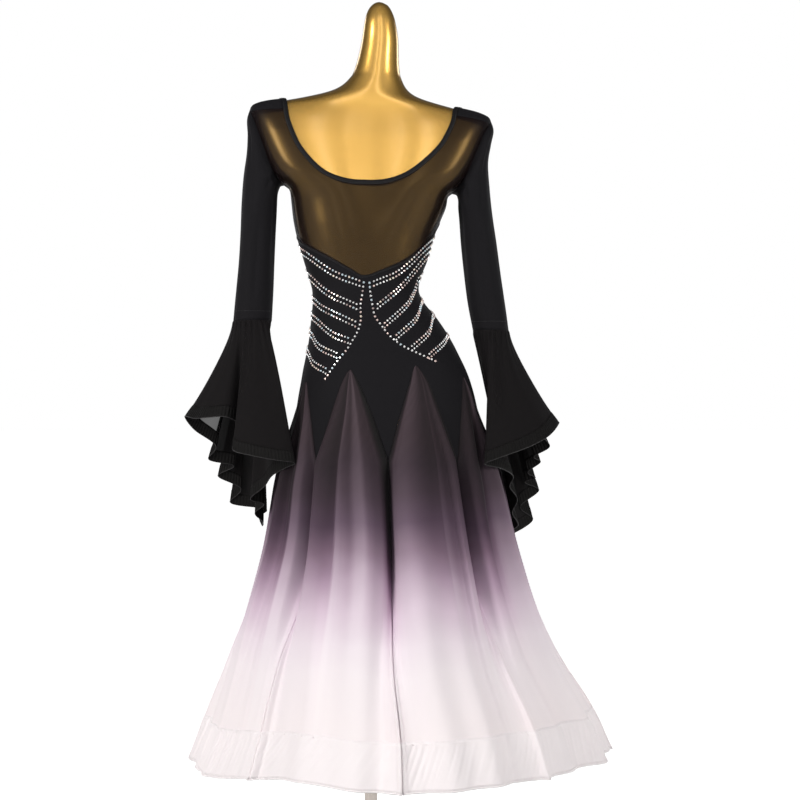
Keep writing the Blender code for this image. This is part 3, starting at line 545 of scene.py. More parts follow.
def godet_surface(index, share, height):
    """Points of a godet, from shares across it and heights, with its flute, ripples and creases."""
    _, first, last, apex, fullness, lean, roundness, ripple, start, _ = GODETS[index]
    share, height = np.broadcast_arrays(np.asarray(share, float), np.asarray(height, float))
    opened = np.clip((apex - height) / (apex - TONGUE_TIP), 0, 1) ** ARCH
    middle = (first + last) / 2
    inside = np.clip(share, 0.0, 1.0)
    dome = np.maximum(np.sin(math.pi * inside ** lean), 0) ** roundness
    waves = ripple * np.sin(6 * math.pi * inside + start) * np.sin(math.pi * inside)
    out = blend(FLUTE_DEPTH, height)[0] * fullness * (dome + waves)
    mid_push, hem_push = blend(FOLDS[index], inside + wander(index, inside, height))
    low_down = ease((560 - height) / 260)
    push = mid_push * (1 - low_down) + hem_push * low_down
    out = out + push * ease((apex - 25 - height) / 190)
    wide = 0.085 + 0.03 * ease((560 - height) / 200)
    out = out - blend(VALLEY, height)[0] * near_seams(inside, wide)
    out = out + blend(SEAM_FILL, height)[0] * near_seams(inside, SEAM_FILL_WIDTH)
    bulge = blend(FLUTE_BULGE, height)[0]
    smooth = body_surface(middle, height)
    radius = np.maximum(np.hypot(smooth[..., 0] - BODY_MIDDLE[0], smooth[..., 1]), 1.0)
    lean_over = -np.degrees(bulge / radius) * np.sin(2 * math.pi * share)
    turn = middle + (last - first) * opened * (share - 0.5) + lean_over
    point = body_surface(turn, height)
    low = np.clip((TONGUE_TIP - height) / (TONGUE_TIP - HEM), 0, None)
    lift = blend(HEM_LIFT, (turn + 44) % 360 - 44)[0] * low * low
    angle = np.radians(turn)
    return point + np.stack([out * np.sin(angle), -out * np.cos(angle), lift], axis=-1)


def godet_layers(index, share, height):
    """How much painted shade darkens a godet's fold faces and valleys, at shares across it and
    heights.
    """
    # low down the painted shade fades, and the cloth is white there
    shown = 0.15 + 0.85 * ease((height - 350) / 230)
    return blend(FOLD_SHADE[index], share + wander(index, share, height))[0] * shown


def lifted(grid, share, lift):
    """A godet's grid lifted off by its normals, and level at its two seams, so that they close."""
    normal, _ = grid_outward(grid, False, BODY_MIDDLE)
    level = grid - np.array([BODY_MIDDLE[0], BODY_MIDDLE[1], 0.0])
    level[..., 2] = 0
    near = (1 - ease(share / 0.03) * ease((1 - share) / 0.03))[..., None]
    return grid + unit(normal * (1 - near) + unit(level) * near) * lift


def grid_outward(grid, closed, middle):
    """Unit vectors off a grid of points, away from its middle, and whether its faces are turned."""
    if closed:
        along = np.roll(grid, -1, axis=1) - np.roll(grid, 1, axis=1)
    else:
        along = np.gradient(grid, axis=1)
    normal = unit(np.cross(along, -np.gradient(grid, axis=0)))
    if middle is None:
        away = grid - grid.mean(axis=1, keepdims=True)
    else:
        away = grid - np.array([middle[0], middle[1], 0.0])
        away[..., 2] = 0
    turned = (normal * away).sum() < 0
    return (-normal if turned else normal), turned


# ---------------------------------------------------------------- meshes and pieces


def grid_faces(rows, columns, closed_rows, closed_columns, turned, start=0):
    """Faces of a grid whose rows run down and whose columns run to the right, seen from outside."""
    row = np.arange(rows if closed_rows else rows - 1)[:, None]
    column = np.arange(columns if closed_columns else columns - 1)[None, :]
    below, beside = (row + 1) % rows, (column + 1) % columns
    corners = np.stack([
        below * columns + column, below * columns + beside,
        row * columns + beside, row * columns + column,
    ], axis=-1).reshape(-1, 4) + start
    return corners[:, ::-1] if turned else corners


def change_mesh(mesh, change):
    """Hands a mesh to a function as a bmesh and takes it back."""
    work = bmesh.new()
    work.from_mesh(mesh)
    change(work)
    work.to_mesh(mesh)
    work.free()


def merge_points(work):
    bmesh.ops.remove_doubles(work, verts=work.verts, dist=POINT_MERGE * MM)


def fill_holes(work):
    bmesh.ops.holes_fill(work, edges=[edge for edge in work.edges if edge.is_boundary])


def face_outward(work):
    bmesh.ops.recalc_face_normals(work, faces=work.faces)


def add_piece(name, points, faces, material, uv=None, merged=False):
    """A mesh at the origin in metres from points in millimetres, riding on the part."""
    mesh = bpy.data.meshes.new(name)
    mesh.from_pydata((np.asarray(points, float).reshape(-1, 3) * MM).tolist(), [],
                     [list(map(int, face)) for face in faces])
    if uv is not None:
        layer = mesh.uv_layers.new(name="cut")
        corner = np.empty(len(mesh.loops), np.int32)
        mesh.loops.foreach_get("vertex_index", corner)
        layer.data.foreach_set("uv", (np.asarray(uv).reshape(-1, 2)[corner] * MM).ravel())
    mesh.materials.append(material)
    if merged:
        change_mesh(mesh, merge_points)
    mesh.polygons.foreach_set("use_smooth", [True] * len(mesh.polygons))
    mesh.update()
    made = bpy.data.objects.new(name, mesh)
    bpy.context.scene.collection.objects.link(made)
    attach(made, "root")
    return made


def cut_map(grid):
    """A flat map of the grid in millimetres along and down the cloth."""
    across = lengths(grid[len(grid) // 2])
    down = lengths(grid[:, grid.shape[1] // 2])
    return np.stack(np.broadcast_arrays(across[None, :], down[:, None]), axis=-1)


def add_cloth(name, grids, material, wall, node_names, slot_name, held, rests_on,
              closed=False, middle=BODY_MIDDLE, cut=None, **fields):
    """A sheet of cloth on one or more grids, given its wall.

    Each field is kept on the points as an attribute of its own name."""
    points, faces, maps = [], [], []
    start, area, wide, long = 0, 0.0, 0.0, 0.0
    for grid in grids:
        if closed:
            grid = np.concatenate([grid, grid[:, :1]], axis=1)
        rows, columns = grid.shape[:2]
        _, turned = grid_outward(grid, False, middle)
        faces.append(grid_faces(rows, columns, False, False, turned, start))
        points.append(grid.reshape(-1, 3))
        maps.append(cut_map(grid).reshape(-1, 2))
        start += rows * columns
        a, b, c, d = grid[:-1, :-1], grid[:-1, 1:], grid[1:, 1:], grid[1:, :-1]
        area += np.linalg.norm(np.cross(c - a, d - b), axis=-1).sum() / 2
        wide = max(wide, max(lengths(grid[row, :, :2])[-1] for row in (0, rows // 2, -1)))
        long += max(lengths(grid[:, column])[-1] for column in range(0, columns, 4))
    # points that carry a field are not merged, so that each keeps its own value
    made = add_piece(name, np.concatenate(points), np.concatenate(faces), material,
                     np.concatenate(maps), merged=(closed and not fields) or len(grids) > 1)
    for label, field in fields.items():
        kept = made.data.attributes.new(label, "FLOAT", "POINT")
        if closed:
            field = np.concatenate([field, field[:, :1]], axis=1)
        kept.data.foreach_set("value", np.asarray(field, np.float32).ravel())
    if wall:
        shell = made.modifiers.new("Wall", "SOLIDIFY")
        shell.thickness = wall * MM
        shell.offset = 0.0
    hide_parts(*node_names)
    if cut:
        wide, long = cut
    return made


def add_capped(name, grid, top, foot, material, node_name):
    """A closed piece of rings that run down, with a point above the first and below the last."""
    rows, count = grid.shape[:2]
    points = grid.reshape(-1, 3).tolist() + [list(top), list(foot)]
    faces = grid_faces(rows, count, False, True, False).tolist()
    last = (rows - 1) * count
    for place in range(count):
        beside = (place + 1) % count
        faces.append([place, beside, len(points) - 2])
        faces.append([last + beside, last + place, len(points) - 1])
    made = add_piece(name, points, faces, material)
    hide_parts(node_name)


def add_turned(name, profile, material, node_name):
    """A round piece from a profile that runs from its top to its underside."""
    profile = np.array(profile, float)
    count = 96
    angle = 2 * math.pi * np.arange(count) / count
    rings = profile[1:-1]
    grid = np.stack([
        rings[:, :1] * np.sin(angle),
        -rings[:, :1] * np.cos(angle),
        np.repeat(rings[:, 1:], count, axis=1),
    ], axis=-1)
    add_capped(name, grid, (0, 0, profile[0, 1]), (0, 0, profile[-1, 1]), material, node_name)


def add_tube(name, line, radius, material, sides=8):
    """A round cord of cloth along a closed line, such as a rolled edge."""
    line = np.asarray(line, float)
    along = unit(np.roll(line, -1, axis=0) - np.roll(line, 1, axis=0))
    level = unit(np.cross(along, np.array([0.0, 0.0, 1.0])))
    upright = np.cross(level, along)
    angle = 2 * math.pi * np.arange(sides) / sides
    grid = (
        line[:, None]
        + level[:, None] * np.cos(angle)[None, :, None] * radius
        + upright[:, None] * np.sin(angle)[None, :, None] * radius
    )
    made = add_piece(name, grid, grid_faces(len(line), sides, True, True, False), material)
    change_mesh(made.data, face_outward)


def add_edging(name, inner, outer, section, material, closed):
    """A raised strip of cloth over the body between two lines of places, with this section."""
    grid = np.stack([
        on_body(inner * (1 - share) + outer * share, lift) for share, lift in section])
    faces = grid_faces(len(section), grid.shape[1], True, closed, False)
    made = add_piece(name, grid, faces, material, cut_map(grid))
    if not closed:
        change_mesh(made.data, fill_holes)
    change_mesh(made.data, face_outward)
    return made


# ---------------------------------------------------------------- materials


def add_node(tree, kind, inputs=(), **settings):
    """A node with its settings, and its inputs set to values or linked to other nodes' outputs."""
    made = tree.nodes.new(kind)
    for name, value in settings.items():
        setattr(made, name, value)
    for socket, value in dict(inputs).items():
        if isinstance(value, bpy.types.NodeSocket):
            tree.links.new(value, made.inputs[socket])
        else:
            made.inputs[socket].default_value = value
    return made


def new_material(name, code, **sockets):
    """A Principled material of an sRGB hex colour, with these values on the shader's own sockets.

    A material that is there already comes back without its tree, and is left as it is."""
    found = bpy.data.materials.get(name)
    if found:
        return found, None, None
    made = bpy.data.materials.new(name)
    made.use_nodes = True
    shader = made.node_tree.nodes["Principled BSDF"]
    shader.inputs["Base Color"].default_value = (*linear(code), 1.0)
    for socket, value in sockets.items():
        shader.inputs[socket.replace("_", " ")].default_value = value
    return made, made.node_tree, shader


def add_surface(tree, shader, source, pitch, strength, distance, detail=2.0):
    """A fine bump of noise at this pitch in millimetres."""
    grain = add_node(tree, "ShaderNodeTexNoise", {
        "Vector": source, "Scale": 1000.0 / pitch, "Detail": detail, "Roughness": 0.55})
    bump = add_node(tree, "ShaderNodeBump", {
        "Height": grain.outputs["Fac"], "Strength": strength, "Distance": distance * MM})
    tree.links.new(bump.outputs["Normal"], shader.inputs["Normal"])


def grained_material(name, code, source, pitch, strength, distance, detail=2.0, **sockets):
    """A material with a fine bump of noise on its cut or on the object's own coordinates."""
    made, tree, shader = new_material(name, code, **sockets)
    if tree:
        spot = add_node(tree, "ShaderNodeTexCoord")
        add_surface(tree, shader, spot.outputs[source], pitch, strength, distance, detail)
    return made


def stretch_jersey():
    """Matt black polyester jersey: deep black, with a faint grey bloom where it turns away."""
    made, tree, shader = new_material(
        "black_knitted_jersey", "#121114", Roughness=0.78, Sheen_Weight=0.01,
        Sheen_Roughness=0.45, Specular_IOR_Level=0.1)
    if tree:
        cut = add_node(tree, "ShaderNodeTexCoord")
        # knit columns are 0.5 mm wide, too fine to show, so they are drawn 1.6 mm wide
        ribs = add_node(tree, "ShaderNodeTexWave", {
            "Vector": cut.outputs["UV"], "Scale": 0.314 / 0.0016, "Distortion": 0.6,
            "Detail": 1.0}, bands_direction="X")
        bump = add_node(tree, "ShaderNodeBump", {
            "Height": ribs.outputs["Fac"], "Strength": 0.12, "Distance": 0.2 * MM})
        tree.links.new(bump.outputs["Normal"], shader.inputs["Normal"])
    return made


def binding_cloth():
    """The same jersey folded double: smoother, so that its round edge catches the light."""
    return grained_material("black_folded_binding", "#0F0E10", "Object", 1.4, 0.15, 0.2,
                            Roughness=0.62, Specular_IOR_Level=0.14)


def sheer_mesh():
    """Fine nylon mesh: holes let the gold form through, and the yarn adds a satin brown shine."""
    # holes are 0.6 mm apart, drawn 1.5 mm apart as a faint grain
    return grained_material("sheer_nylon_mesh", "#170F10", "UV", 1.5, 0.08, 0.1,
                            Roughness=0.45, Alpha=0.765, Specular_IOR_Level=0.08)


def black_georgette():
    """Thin crepe-twisted polyester: one layer lets a little light through, two look black."""
    made, tree, shader = new_material(
        "black_crepe_georgette", "#121011", Roughness=0.82, Specular_IOR_Level=0.09)
    if tree:
        cut = add_node(tree, "ShaderNodeTexCoord")
        add_surface(tree, shader, cut.outputs["UV"], 1.3, 0.25, 0.2)
        thin = add_node(tree, "ShaderNodeAttribute", attribute_name="sheer")
        alpha = add_node(tree, "ShaderNodeMapRange", {
            "Value": thin.outputs["Fac"], "To Min": 0.997, "To Max": 0.86})
        tree.links.new(alpha.outputs["Result"], shader.inputs["Alpha"])
    return made


def stiff_band_black():
    """Georgette folded over stiff braid: opaque, matt black."""
    return grained_material("black_braid_band", "#0F0E0E", "UV", 1.3, 0.2, 0.2,
                            Roughness=0.7, Specular_IOR_Level=0.1)


OMBRE = (
    # height in millimetres, colour where no painted fold shade darkens it
    (925, "#40353A"), (800, "#463A40"), (754, "#493D45"), (701, "#5B4D57"), (648, "#736271"),
    (597, "#9C8998"), (545, "#C5B3C2"), (492, "#E1D2DE"), (440, "#EFE5EC"), (388, "#F4ECF0"),
    (300, "#F7EFF1"),
)


def ombre_georgette():
    """Polyester georgette dyed by height: plum grey at the hip, lilac, then white at the knee, with
    painted shade on its fold faces and in its valleys.
    """
    made, tree, shader = new_material(
        "dip_dyed_georgette", "#C9B8CB", Roughness=0.76, Sheen_Weight=0.03,
        Sheen_Roughness=0.5, Specular_IOR_Level=0.2)
    if tree:
        cut = add_node(tree, "ShaderNodeTexCoord")
        # the dye height read here is raised by the painted fold shade, so that fold faces and
        # valleys reach darker colours
        height = add_node(tree, "ShaderNodeAttribute", attribute_name="dye")
        # the dye crept unevenly up the cloth, by about 12 mm over a hand's width
        creep = add_node(tree, "ShaderNodeTexNoise", {
            "Vector": cut.outputs["Object"], "Scale": 9.0, "Detail": 2.0})
        shifted = add_node(tree, "ShaderNodeMath", {
            0: creep.outputs["Fac"], 1: 50.0, 2: height.outputs["Fac"]}, operation="MULTIPLY_ADD")
        low, high = OMBRE[-1][0], OMBRE[0][0]
        share = add_node(tree, "ShaderNodeMapRange", {
            "Value": shifted.outputs["Value"], "From Min": low + 25.0, "From Max": high + 25.0})
        ramp = add_node(tree, "ShaderNodeValToRGB", {"Fac": share.outputs["Result"]})
        stops = ramp.color_ramp.elements
        stops[0].color = (*linear(OMBRE[-1][1]), 1.0)
        stops[1].color = (*linear(OMBRE[0][1]), 1.0)
        for at, code in OMBRE[1:-1]:
            stops.new((at - low) / (high - low)).color = (*linear(code), 1.0)
        # two layers of fine cloth lie on each other at the top, which shows as faint watered lines
        watered = add_node(tree, "ShaderNodeTexWave", {
            "Vector": cut.outputs["UV"], "Scale": 0.314 / 0.016, "Distortion": 14.0,
            "Detail": 1.5, "Detail Scale": 0.5}, bands_direction="DIAGONAL")
        upper = add_node(tree, "ShaderNodeMapRange", {
            "Value": shifted.outputs["Value"], "From Min": 720.0, "From Max": 880.0,
            "To Min": 0.0, "To Max": 0.1})
        lines = add_node(tree, "ShaderNodeMath", {
            0: watered.outputs["Fac"], 1: upper.outputs["Result"], 2: 1.0},
            operation="MULTIPLY_ADD")
        tinted = add_node(tree, "ShaderNodeVectorMath", {
            0: ramp.outputs["Color"], "Scale": lines.outputs["Value"]}, operation="SCALE")
        # painted shade: on fold faces and in valleys the colour is raised to a higher power, so
        # dark cloth darkens and white stays white
        layers = add_node(tree, "ShaderNodeAttribute", attribute_name="layers")
        shade_gamma = add_node(tree, "ShaderNodeMath", {
            0: layers.outputs["Fac"], 1: 1.9, 2: 1.0}, operation="MULTIPLY_ADD")
        shaded_colour = add_node(tree, "ShaderNodeGamma", {
            "Color": tinted.outputs["Vector"], "Gamma": shade_gamma.outputs["Value"]})
        tree.links.new(shaded_colour.outputs["Color"], shader.inputs["Base Color"])
        add_surface(tree, shader, cut.outputs["UV"], 1.4, 0.18, 0.2)
    return made


def white_hem():
    """White georgette drawn over a stiff band: bright and matt, with a silky rolled edge."""
    return grained_material("white_gathered_georgette", "#F6EFF1", "UV", 1.4, 0.18, 0.2,
                            Roughness=0.66, Sheen_Weight=0.15)


def rolled_white():
    """Rolled and overlocked white edge: a smooth satin cord of thread."""
    return new_material("white_rolled_edge", "#FBF6F7", Roughness=0.45)[0]


def rolled_black():
    """Rolled and overlocked black edge: its thread catches a thin line of light."""
    return new_material("black_rolled_edge", "#121011", Roughness=0.5, Specular_IOR_Level=0.3)[0]


def gold_lacquer():
    """Gold metallic paint under clear lacquer: soft warm metal with sharp white reflections."""
    return grained_material("gold_lacquer", "#D4A54B", "Object", 60.0, 0.05, 0.3, 0.0,
                            Metallic=0.9, Roughness=0.27, Coat_Weight=1.0, Coat_Roughness=0.16)


def brushed_steel():
    """Brushed steel tube and plate: dull grey metal with a soft streak of light."""
    return grained_material("brushed_steel_tube", "#A9A29C", "Object", 2.0, 0.06, 0.05,
                            Metallic=1.0, Roughness=0.34)


def crystal():
    """Foil-backed glass stones: white sparks, some of them tinted pink or blue by their coating."""
    made, tree, shader = new_material(
        "rhinestone", "#F4F0EE", Metallic=0.35, Roughness=0.12, Specular_IOR_Level=0.9)
    if tree:
        tint = add_node(tree, "ShaderNodeAttribute", attribute_name="tint")
        ramp = add_node(tree, "ShaderNodeValToRGB", {"Fac": tint.outputs["Fac"]})
        ramp.color_ramp.interpolation = "CONSTANT"
        stops = ramp.color_ramp.elements
        stops[0].color = (*linear("#FFFFFF"), 1.0)
        stops[1].position = 0.5
        stops[1].color = (*linear("#F3D9D2"), 1.0)
        for position, code in ((0.7, "#D5E6EF"), (0.82, "#B9A7A4"), (0.92, "#FFF1DF")):
            stops.new(position).color = (*linear(code), 1.0)
        tree.links.new(ramp.outputs["Color"], shader.inputs["Base Color"])
    return made


def thread(name, code):
    """Spun polyester sewing thread with a slight shine."""
    return new_material(name, code, Roughness=0.5)[0]


# ---------------------------------------------------------------- stones and stitches


def start_tree(name, own_inputs):
    """A Geometry Nodes tree that starts with points at equal steps along lines.

    Comes with its inputs' identifiers, their sockets, the points and the vectors off the cloth."""
    tree = bpy.data.node_groups.new(name, "GeometryNodeTree")
    face = tree.interface
    face.new_socket("Geometry", in_out="INPUT", socket_type="NodeSocketGeometry")
    face.new_socket("Geometry", in_out="OUTPUT", socket_type="NodeSocketGeometry")
    inputs = {}
    for label, kind in (("Spacing", "Float"), *own_inputs, ("Finish", "Material")):
        socket = face.new_socket(label, in_out="INPUT", socket_type="NodeSocket" + kind)
        inputs[label] = socket.identifier
    given = add_node(tree, "NodeGroupInput").outputs
    line = add_node(tree, "GeometryNodeMeshToCurve", {"Mesh": given["Geometry"]})
    even = add_node(tree, "GeometryNodeResampleCurve", {
        "Curve": line.outputs["Curve"], "Length": given["Spacing"]}, mode="LENGTH")
    outward = add_node(tree, "GeometryNodeInputNamedAttribute", {"Name": "outward"},
                       data_type="FLOAT_VECTOR")
    return tree, inputs, given, even.outputs["Curve"], outward.outputs["Attribute"]


def end_tree(tree, geometry, finish):
    """Gives the tree's result its material and puts it out."""
    done = add_node(tree, "GeometryNodeSetMaterial", {"Geometry": geometry, "Material": finish})
    add_node(tree, "NodeGroupOutput", {"Geometry": done.outputs["Geometry"]})


def stone_tree():
    """Stones set at equal steps along each line, each seated on the cloth."""
    tree, inputs, given, points, outward = start_tree(
        "set_stones", (("Diameter", "Float"), ("Seed", "Int")))
    upright = add_node(tree, "FunctionNodeAlignRotationToVector", {"Vector": outward}, axis="Z")
    # a stone of unit width: an eight-sided cone with a flat table
    cut = add_node(tree, "GeometryNodeMeshCone", {
        "Vertices": 8, "Radius Top": 0.27, "Radius Bottom": 0.5, "Depth": 0.34})
    vary = add_node(tree, "FunctionNodeRandomValue", {2: 0.9, 3: 1.08, "Seed": given["Seed"]},
                    data_type="FLOAT")
    size = add_node(tree, "ShaderNodeMath", {0: vary.outputs[1], 1: given["Diameter"]},
                    operation="MULTIPLY")
    stones = add_node(tree, "GeometryNodeInstanceOnPoints", {
        "Points": points, "Instance": cut.outputs["Mesh"],
        "Rotation": upright.outputs["Rotation"], "Scale": size.outputs["Value"]})
    hue = add_node(tree, "FunctionNodeRandomValue", {2: 0.0, 3: 1.0, "Seed": given["Seed"]},
                   data_type="FLOAT")
    kept = add_node(tree, "GeometryNodeStoreNamedAttribute", {
        "Geometry": stones.outputs["Instances"], "Name": "tint", "Value": hue.outputs[1]},
        data_type="FLOAT", domain="INSTANCE")
    real = add_node(tree, "GeometryNodeRealizeInstances", {"Geometry": kept.outputs["Geometry"]})
    end_tree(tree, real.outputs["Geometry"], given["Finish"])
    return tree, inputs


def stitch_tree():
    """Stitches laid end to end along each line, with a small space between them."""
    tree, inputs, given, points, outward = start_tree(
        "lay_stitches", (("Length", "Float"), ("Thickness", "Float")))
    tangent = add_node(tree, "GeometryNodeInputTangent")
    along = add_node(tree, "FunctionNodeAlignRotationToVector", {
        "Vector": tangent.outputs["Tangent"]}, axis="X")
    laid = add_node(tree, "FunctionNodeAlignRotationToVector", {
        "Rotation": along.outputs["Rotation"], "Vector": outward}, axis="Z", pivot_axis="X")
    bead = add_node(tree, "GeometryNodeMeshIcoSphere", {"Radius": 0.5, "Subdivisions": 1})
    sizes = add_node(tree, "ShaderNodeCombineXYZ", {
        "X": given["Length"], "Y": given["Thickness"], "Z": given["Thickness"]})
    stitches = add_node(tree, "GeometryNodeInstanceOnPoints", {
        "Points": points, "Instance": bead.outputs["Mesh"],
        "Rotation": laid.outputs["Rotation"], "Scale": sizes.outputs["Vector"]})
    real = add_node(tree, "GeometryNodeRealizeInstances", {
        "Geometry": stitches.outputs["Instances"]})
    soft = add_node(tree, "GeometryNodeSetShadeSmooth", {"Geometry": real.outputs["Geometry"]})
    end_tree(tree, soft.outputs["Geometry"], given["Finish"])
    return tree, inputs


def along_lines(name, lines, made_tree, values):
    """A plain mesh of what a tree sets along lines, each given as points and outward vectors."""
    tree, inputs = made_tree
    points, outward, edges = [], [], []
    for line, normals in lines:
        start = len(points)
        points.extend((np.asarray(line) * MM).tolist())
        outward.extend(np.asarray(normals).tolist())
        edges.extend((start + i, start + i + 1) for i in range(len(line) - 1))
    course = bpy.data.meshes.new(name + "_course")
    course.from_pydata(points, edges, [])
    facing = course.attributes.new("outward", "FLOAT_VECTOR", "POINT")
    facing.data.foreach_set("vector", np.array(outward, np.float32).ravel())
    guide = bpy.data.objects.new(name + "_course", course)
    bpy.context.scene.collection.objects.link(guide)
    setting = guide.modifiers.new("Set", "NODES")
    setting.node_group = tree
    for label, value in values.items():
        setting[inputs[label]] = value
    graph = bpy.context.evaluated_depsgraph_get()
    mesh = bpy.data.meshes.new_from_object(guide.evaluated_get(graph))
    mesh.name = name
    bpy.data.objects.remove(guide)
    if not mesh.polygons:
        raise RuntimeError(f"{name} has no faces")
    made = bpy.data.objects.new(name, mesh)
    bpy.context.scene.collection.objects.link(made)
    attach(made, "root")


# ---------------------------------------------------------------- the object's pieces


def build_form():
    """The gold form, closed under the skirt, on its socket, pole and base."""
    gold, steel = gold_lacquer(), brushed_steel()
    count = 112
    turn = 360 * np.arange(count) / count
    angle = np.radians(turn)
    rings = []
    for z, left, right, back, front in FORM_UNDERSIDE:
        across = power(np.sin(angle), 2 / FORM_SQUARENESS)
        away = power(np.cos(angle), 2 / FORM_SQUARENESS)
        depth = np.where(away > 0, back, front)
        x = (left + right) / 2 + (right - left) / 2 * across
        rings.append(np.stack([x, -depth * away, np.full(count, float(z))], axis=-1))
    heights = np.concatenate([np.linspace(915, 1500, 130), np.linspace(1504, 1720, 60)])
    side = 0.5 - 0.5 * np.clip(3 * np.cos(angle), -1, 1)
    upper = []
    for height in heights:
        behind, in_front = blend(FORM_SET_IN, height)
        set_in = (behind + (in_front - behind) * side)[:, None]
        full = np.full(count, height)
        skin = body_surface(turn, full)
        # a shallow hollow runs down between the shoulder blades
        between_blades = np.exp(-((skin[:, 0] - 14) / 46) ** 2) * (np.cos(angle) > 0)
        tall = ease((height - 1130) / 120) * ease((1440 - height) / 70)
        hollow = BLADES_HOLLOW * between_blades * tall
        upper.append(skin - body_outward(turn, full) * (set_in + hollow[:, None]))
    lower = smooth_line(np.stack(rings + [upper[0]]), 40)[:-1]
    upper = np.stack(upper)
    for step in range(44):
        # the shoulders turn over softly under the cloth
        inner = slice(60 if step < 14 else 96, len(upper) - 40)
        soft = (np.roll(upper, 1, axis=0) + 2 * upper + np.roll(upper, -1, axis=0)) / 4
        upper[inner] = soft[inner]
    grid = np.concatenate([lower, upper])[::-1]
    add_capped("dress_form", grid, FORM_TIP, FORM_FOOT, gold, "form_torso")
    profiles = (("base", BASE_PROFILE), ("pole", POLE_PROFILE), ("socket", SOCKET_PROFILE))
    for part, profile in profiles:
        add_turned("stand_" + part, profile, steel, "form_" + part)


def bodice_lines():
    """The bodice's seam lines as places: the back's point, the yoke's outer edge and the neck."""
    lower = tongue_edge(-90, 90)
    point = np.stack([lower[:, 0], blend(BODICE_POINT, lower[:, 0])[0]], axis=-1)
    steps = 32
    top = round(SHOULDER_STRIP * steps)
    left, right = armhole(-1, False, steps), armhole(1, False, steps)
    left_side = between([(-90, ARMHOLE_FOOT)], [point[0]], 12)[:, 0]
    right_side = between([point[-1]], [(90, ARMHOLE_FOOT)], 12)[:, 0]
    yoke = np.concatenate([left[top::-1], left_side[1:-1], point, right_side[1:-1],
                           right[:top + 1]])
    back = np.array([(turn_at(x, height), height) for x, height in NECK_BACK], float)
    front = np.array([(turn_at(x, height, True), height) for x, height in NECK_FRONT], float)
    # the black shoulder strips reach a little way down the back on both sides of the neck
    front = np.concatenate([back[-4:], front, back[:4] + WHOLE_TURN])
    back = back[3:-3]
    neck_back = matched(smooth_line(back, 200), place_shares(yoke))
    left_front = armhole(-1, True, steps) + WHOLE_TURN
    chest_turns = tongue_edge(90, 270)[:, 0]
    chest = np.stack([chest_turns, np.full(len(chest_turns), float(ARMHOLE_FOOT))], axis=-1)
    edge = np.concatenate([
        right[top:-1], armhole(1, True, steps)[::-1], chest[1:-1], left_front,
        left[-2:top - 1:-1] + WHOLE_TURN,
    ])
    neck_front = matched(smooth_line(front, 200), place_shares(edge))
    inner = np.concatenate([neck_back[:-1], neck_front[:-1]])
    outer = moved_out(inner, BINDING_WIDTH)
    return lower, point, yoke, chest, edge, inner, outer


def build_bodice():
    """The black back and front, the sheer yoke, the neck binding and the edge along the point."""
    black, trim, mesh = stretch_jersey(), binding_cloth(), sheer_mesh()
    lower, point, yoke, chest, edge, inner, outer = bodice_lines()
    front_lower = tongue_edge(90, 270)
    yoke_inner = outer[:len(yoke)]
    front_inner = np.concatenate([outer[len(yoke) - 1:], outer[:1] + WHOLE_TURN])
    back = [on_body(between(point, lower, 70), JERSEY_LIFT)]
    add_cloth("back_bodice", back, black, CLOTH_WALL, ["back_body"], "black_jersey",
              "stretched", ["dress_form"])
    sheer = [on_body(between(yoke, yoke_inner, 26), MESH_LIFT)]
    add_cloth("sheer_yoke", sheer, mesh, 0.0, ["back_mesh"], "sheer_mesh",
              "stretched", ["dress_form"], cut=YOKE_CUT)
    front = [on_body(between(chest, front_lower, 80), JERSEY_LIFT),
             on_body(between(edge, front_inner, 20), JERSEY_LIFT)]
    add_cloth("front_bodice", front, black, CLOTH_WALL, ["front_body"], "black_jersey",
              "stretched", ["dress_form"])
    binding = add_edging("neck_band", inner, outer, BINDING_SECTION, trim, True)
    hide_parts("neck_binding")
    wide = lengths(on_body(outer, 1.0))[-1] * MM
    add_edging("point_edge", point + np.array([0, 2.0]), point - np.array([0, 3.0]),
               POINT_EDGE_SECTION, trim, False)


def sleeve_grid(side, table):
    """A sleeve from its armhole to its cuff, with its creases."""
    count, steps = 72, 36
    back, front = armhole(side, False, steps), armhole(side, True, steps)
    ring = np.concatenate([back[::-1], front[1:-1]])
    rings = [on_body(ring, MESH_LIFT)]
    angle = 2 * math.pi * np.arange(count) / count
    for outer_x, outer_z, inner_x, inner_z, half_depth, squareness in table:
        outer, inner = np.array([outer_x, 0, outer_z]), np.array([inner_x, 0, inner_z])
        across = power(np.cos(angle), 2 / squareness)[:, None] * (outer - inner) / 2
        away = -half_depth * power(np.sin(angle), 2 / squareness)
        rings.append((outer + inner) / 2 + across + away[:, None] * np.array([0.0, 1.0, 0.0]))
    grid = smooth_line(np.stack(rings), 90)
    normal, _ = grid_outward(grid, True, None)
    share = np.linspace(0, 1, len(grid))[:, None]
    degrees = np.degrees(angle)[None, :]
    push = np.zeros(grid.shape[:2])
    for at, top, foot, drift, depth, width in SLEEVE_CREASES:
        along = (share - top) / (foot - top)
        off = (degrees - at - drift * along + 180) % 360 - 180
        push += depth * np.exp(-(off / width) ** 2) * ease(along * 3) * ease((1 - along) * 3)
    return grid + normal * (push + 0.4)[..., None]


def build_sleeves():
    black = stretch_jersey()
    for name, side, table in (("left", -1, SLEEVE_LEFT), ("right", 1, SLEEVE_RIGHT)):
        add_cloth("long_sleeve_" + name, [sleeve_grid(side, table)], black, CLOTH_WALL,
                  ["sleeve_" + name], "black_jersey", "hung", ["front_bodice"],
                  closed=True, middle=None)


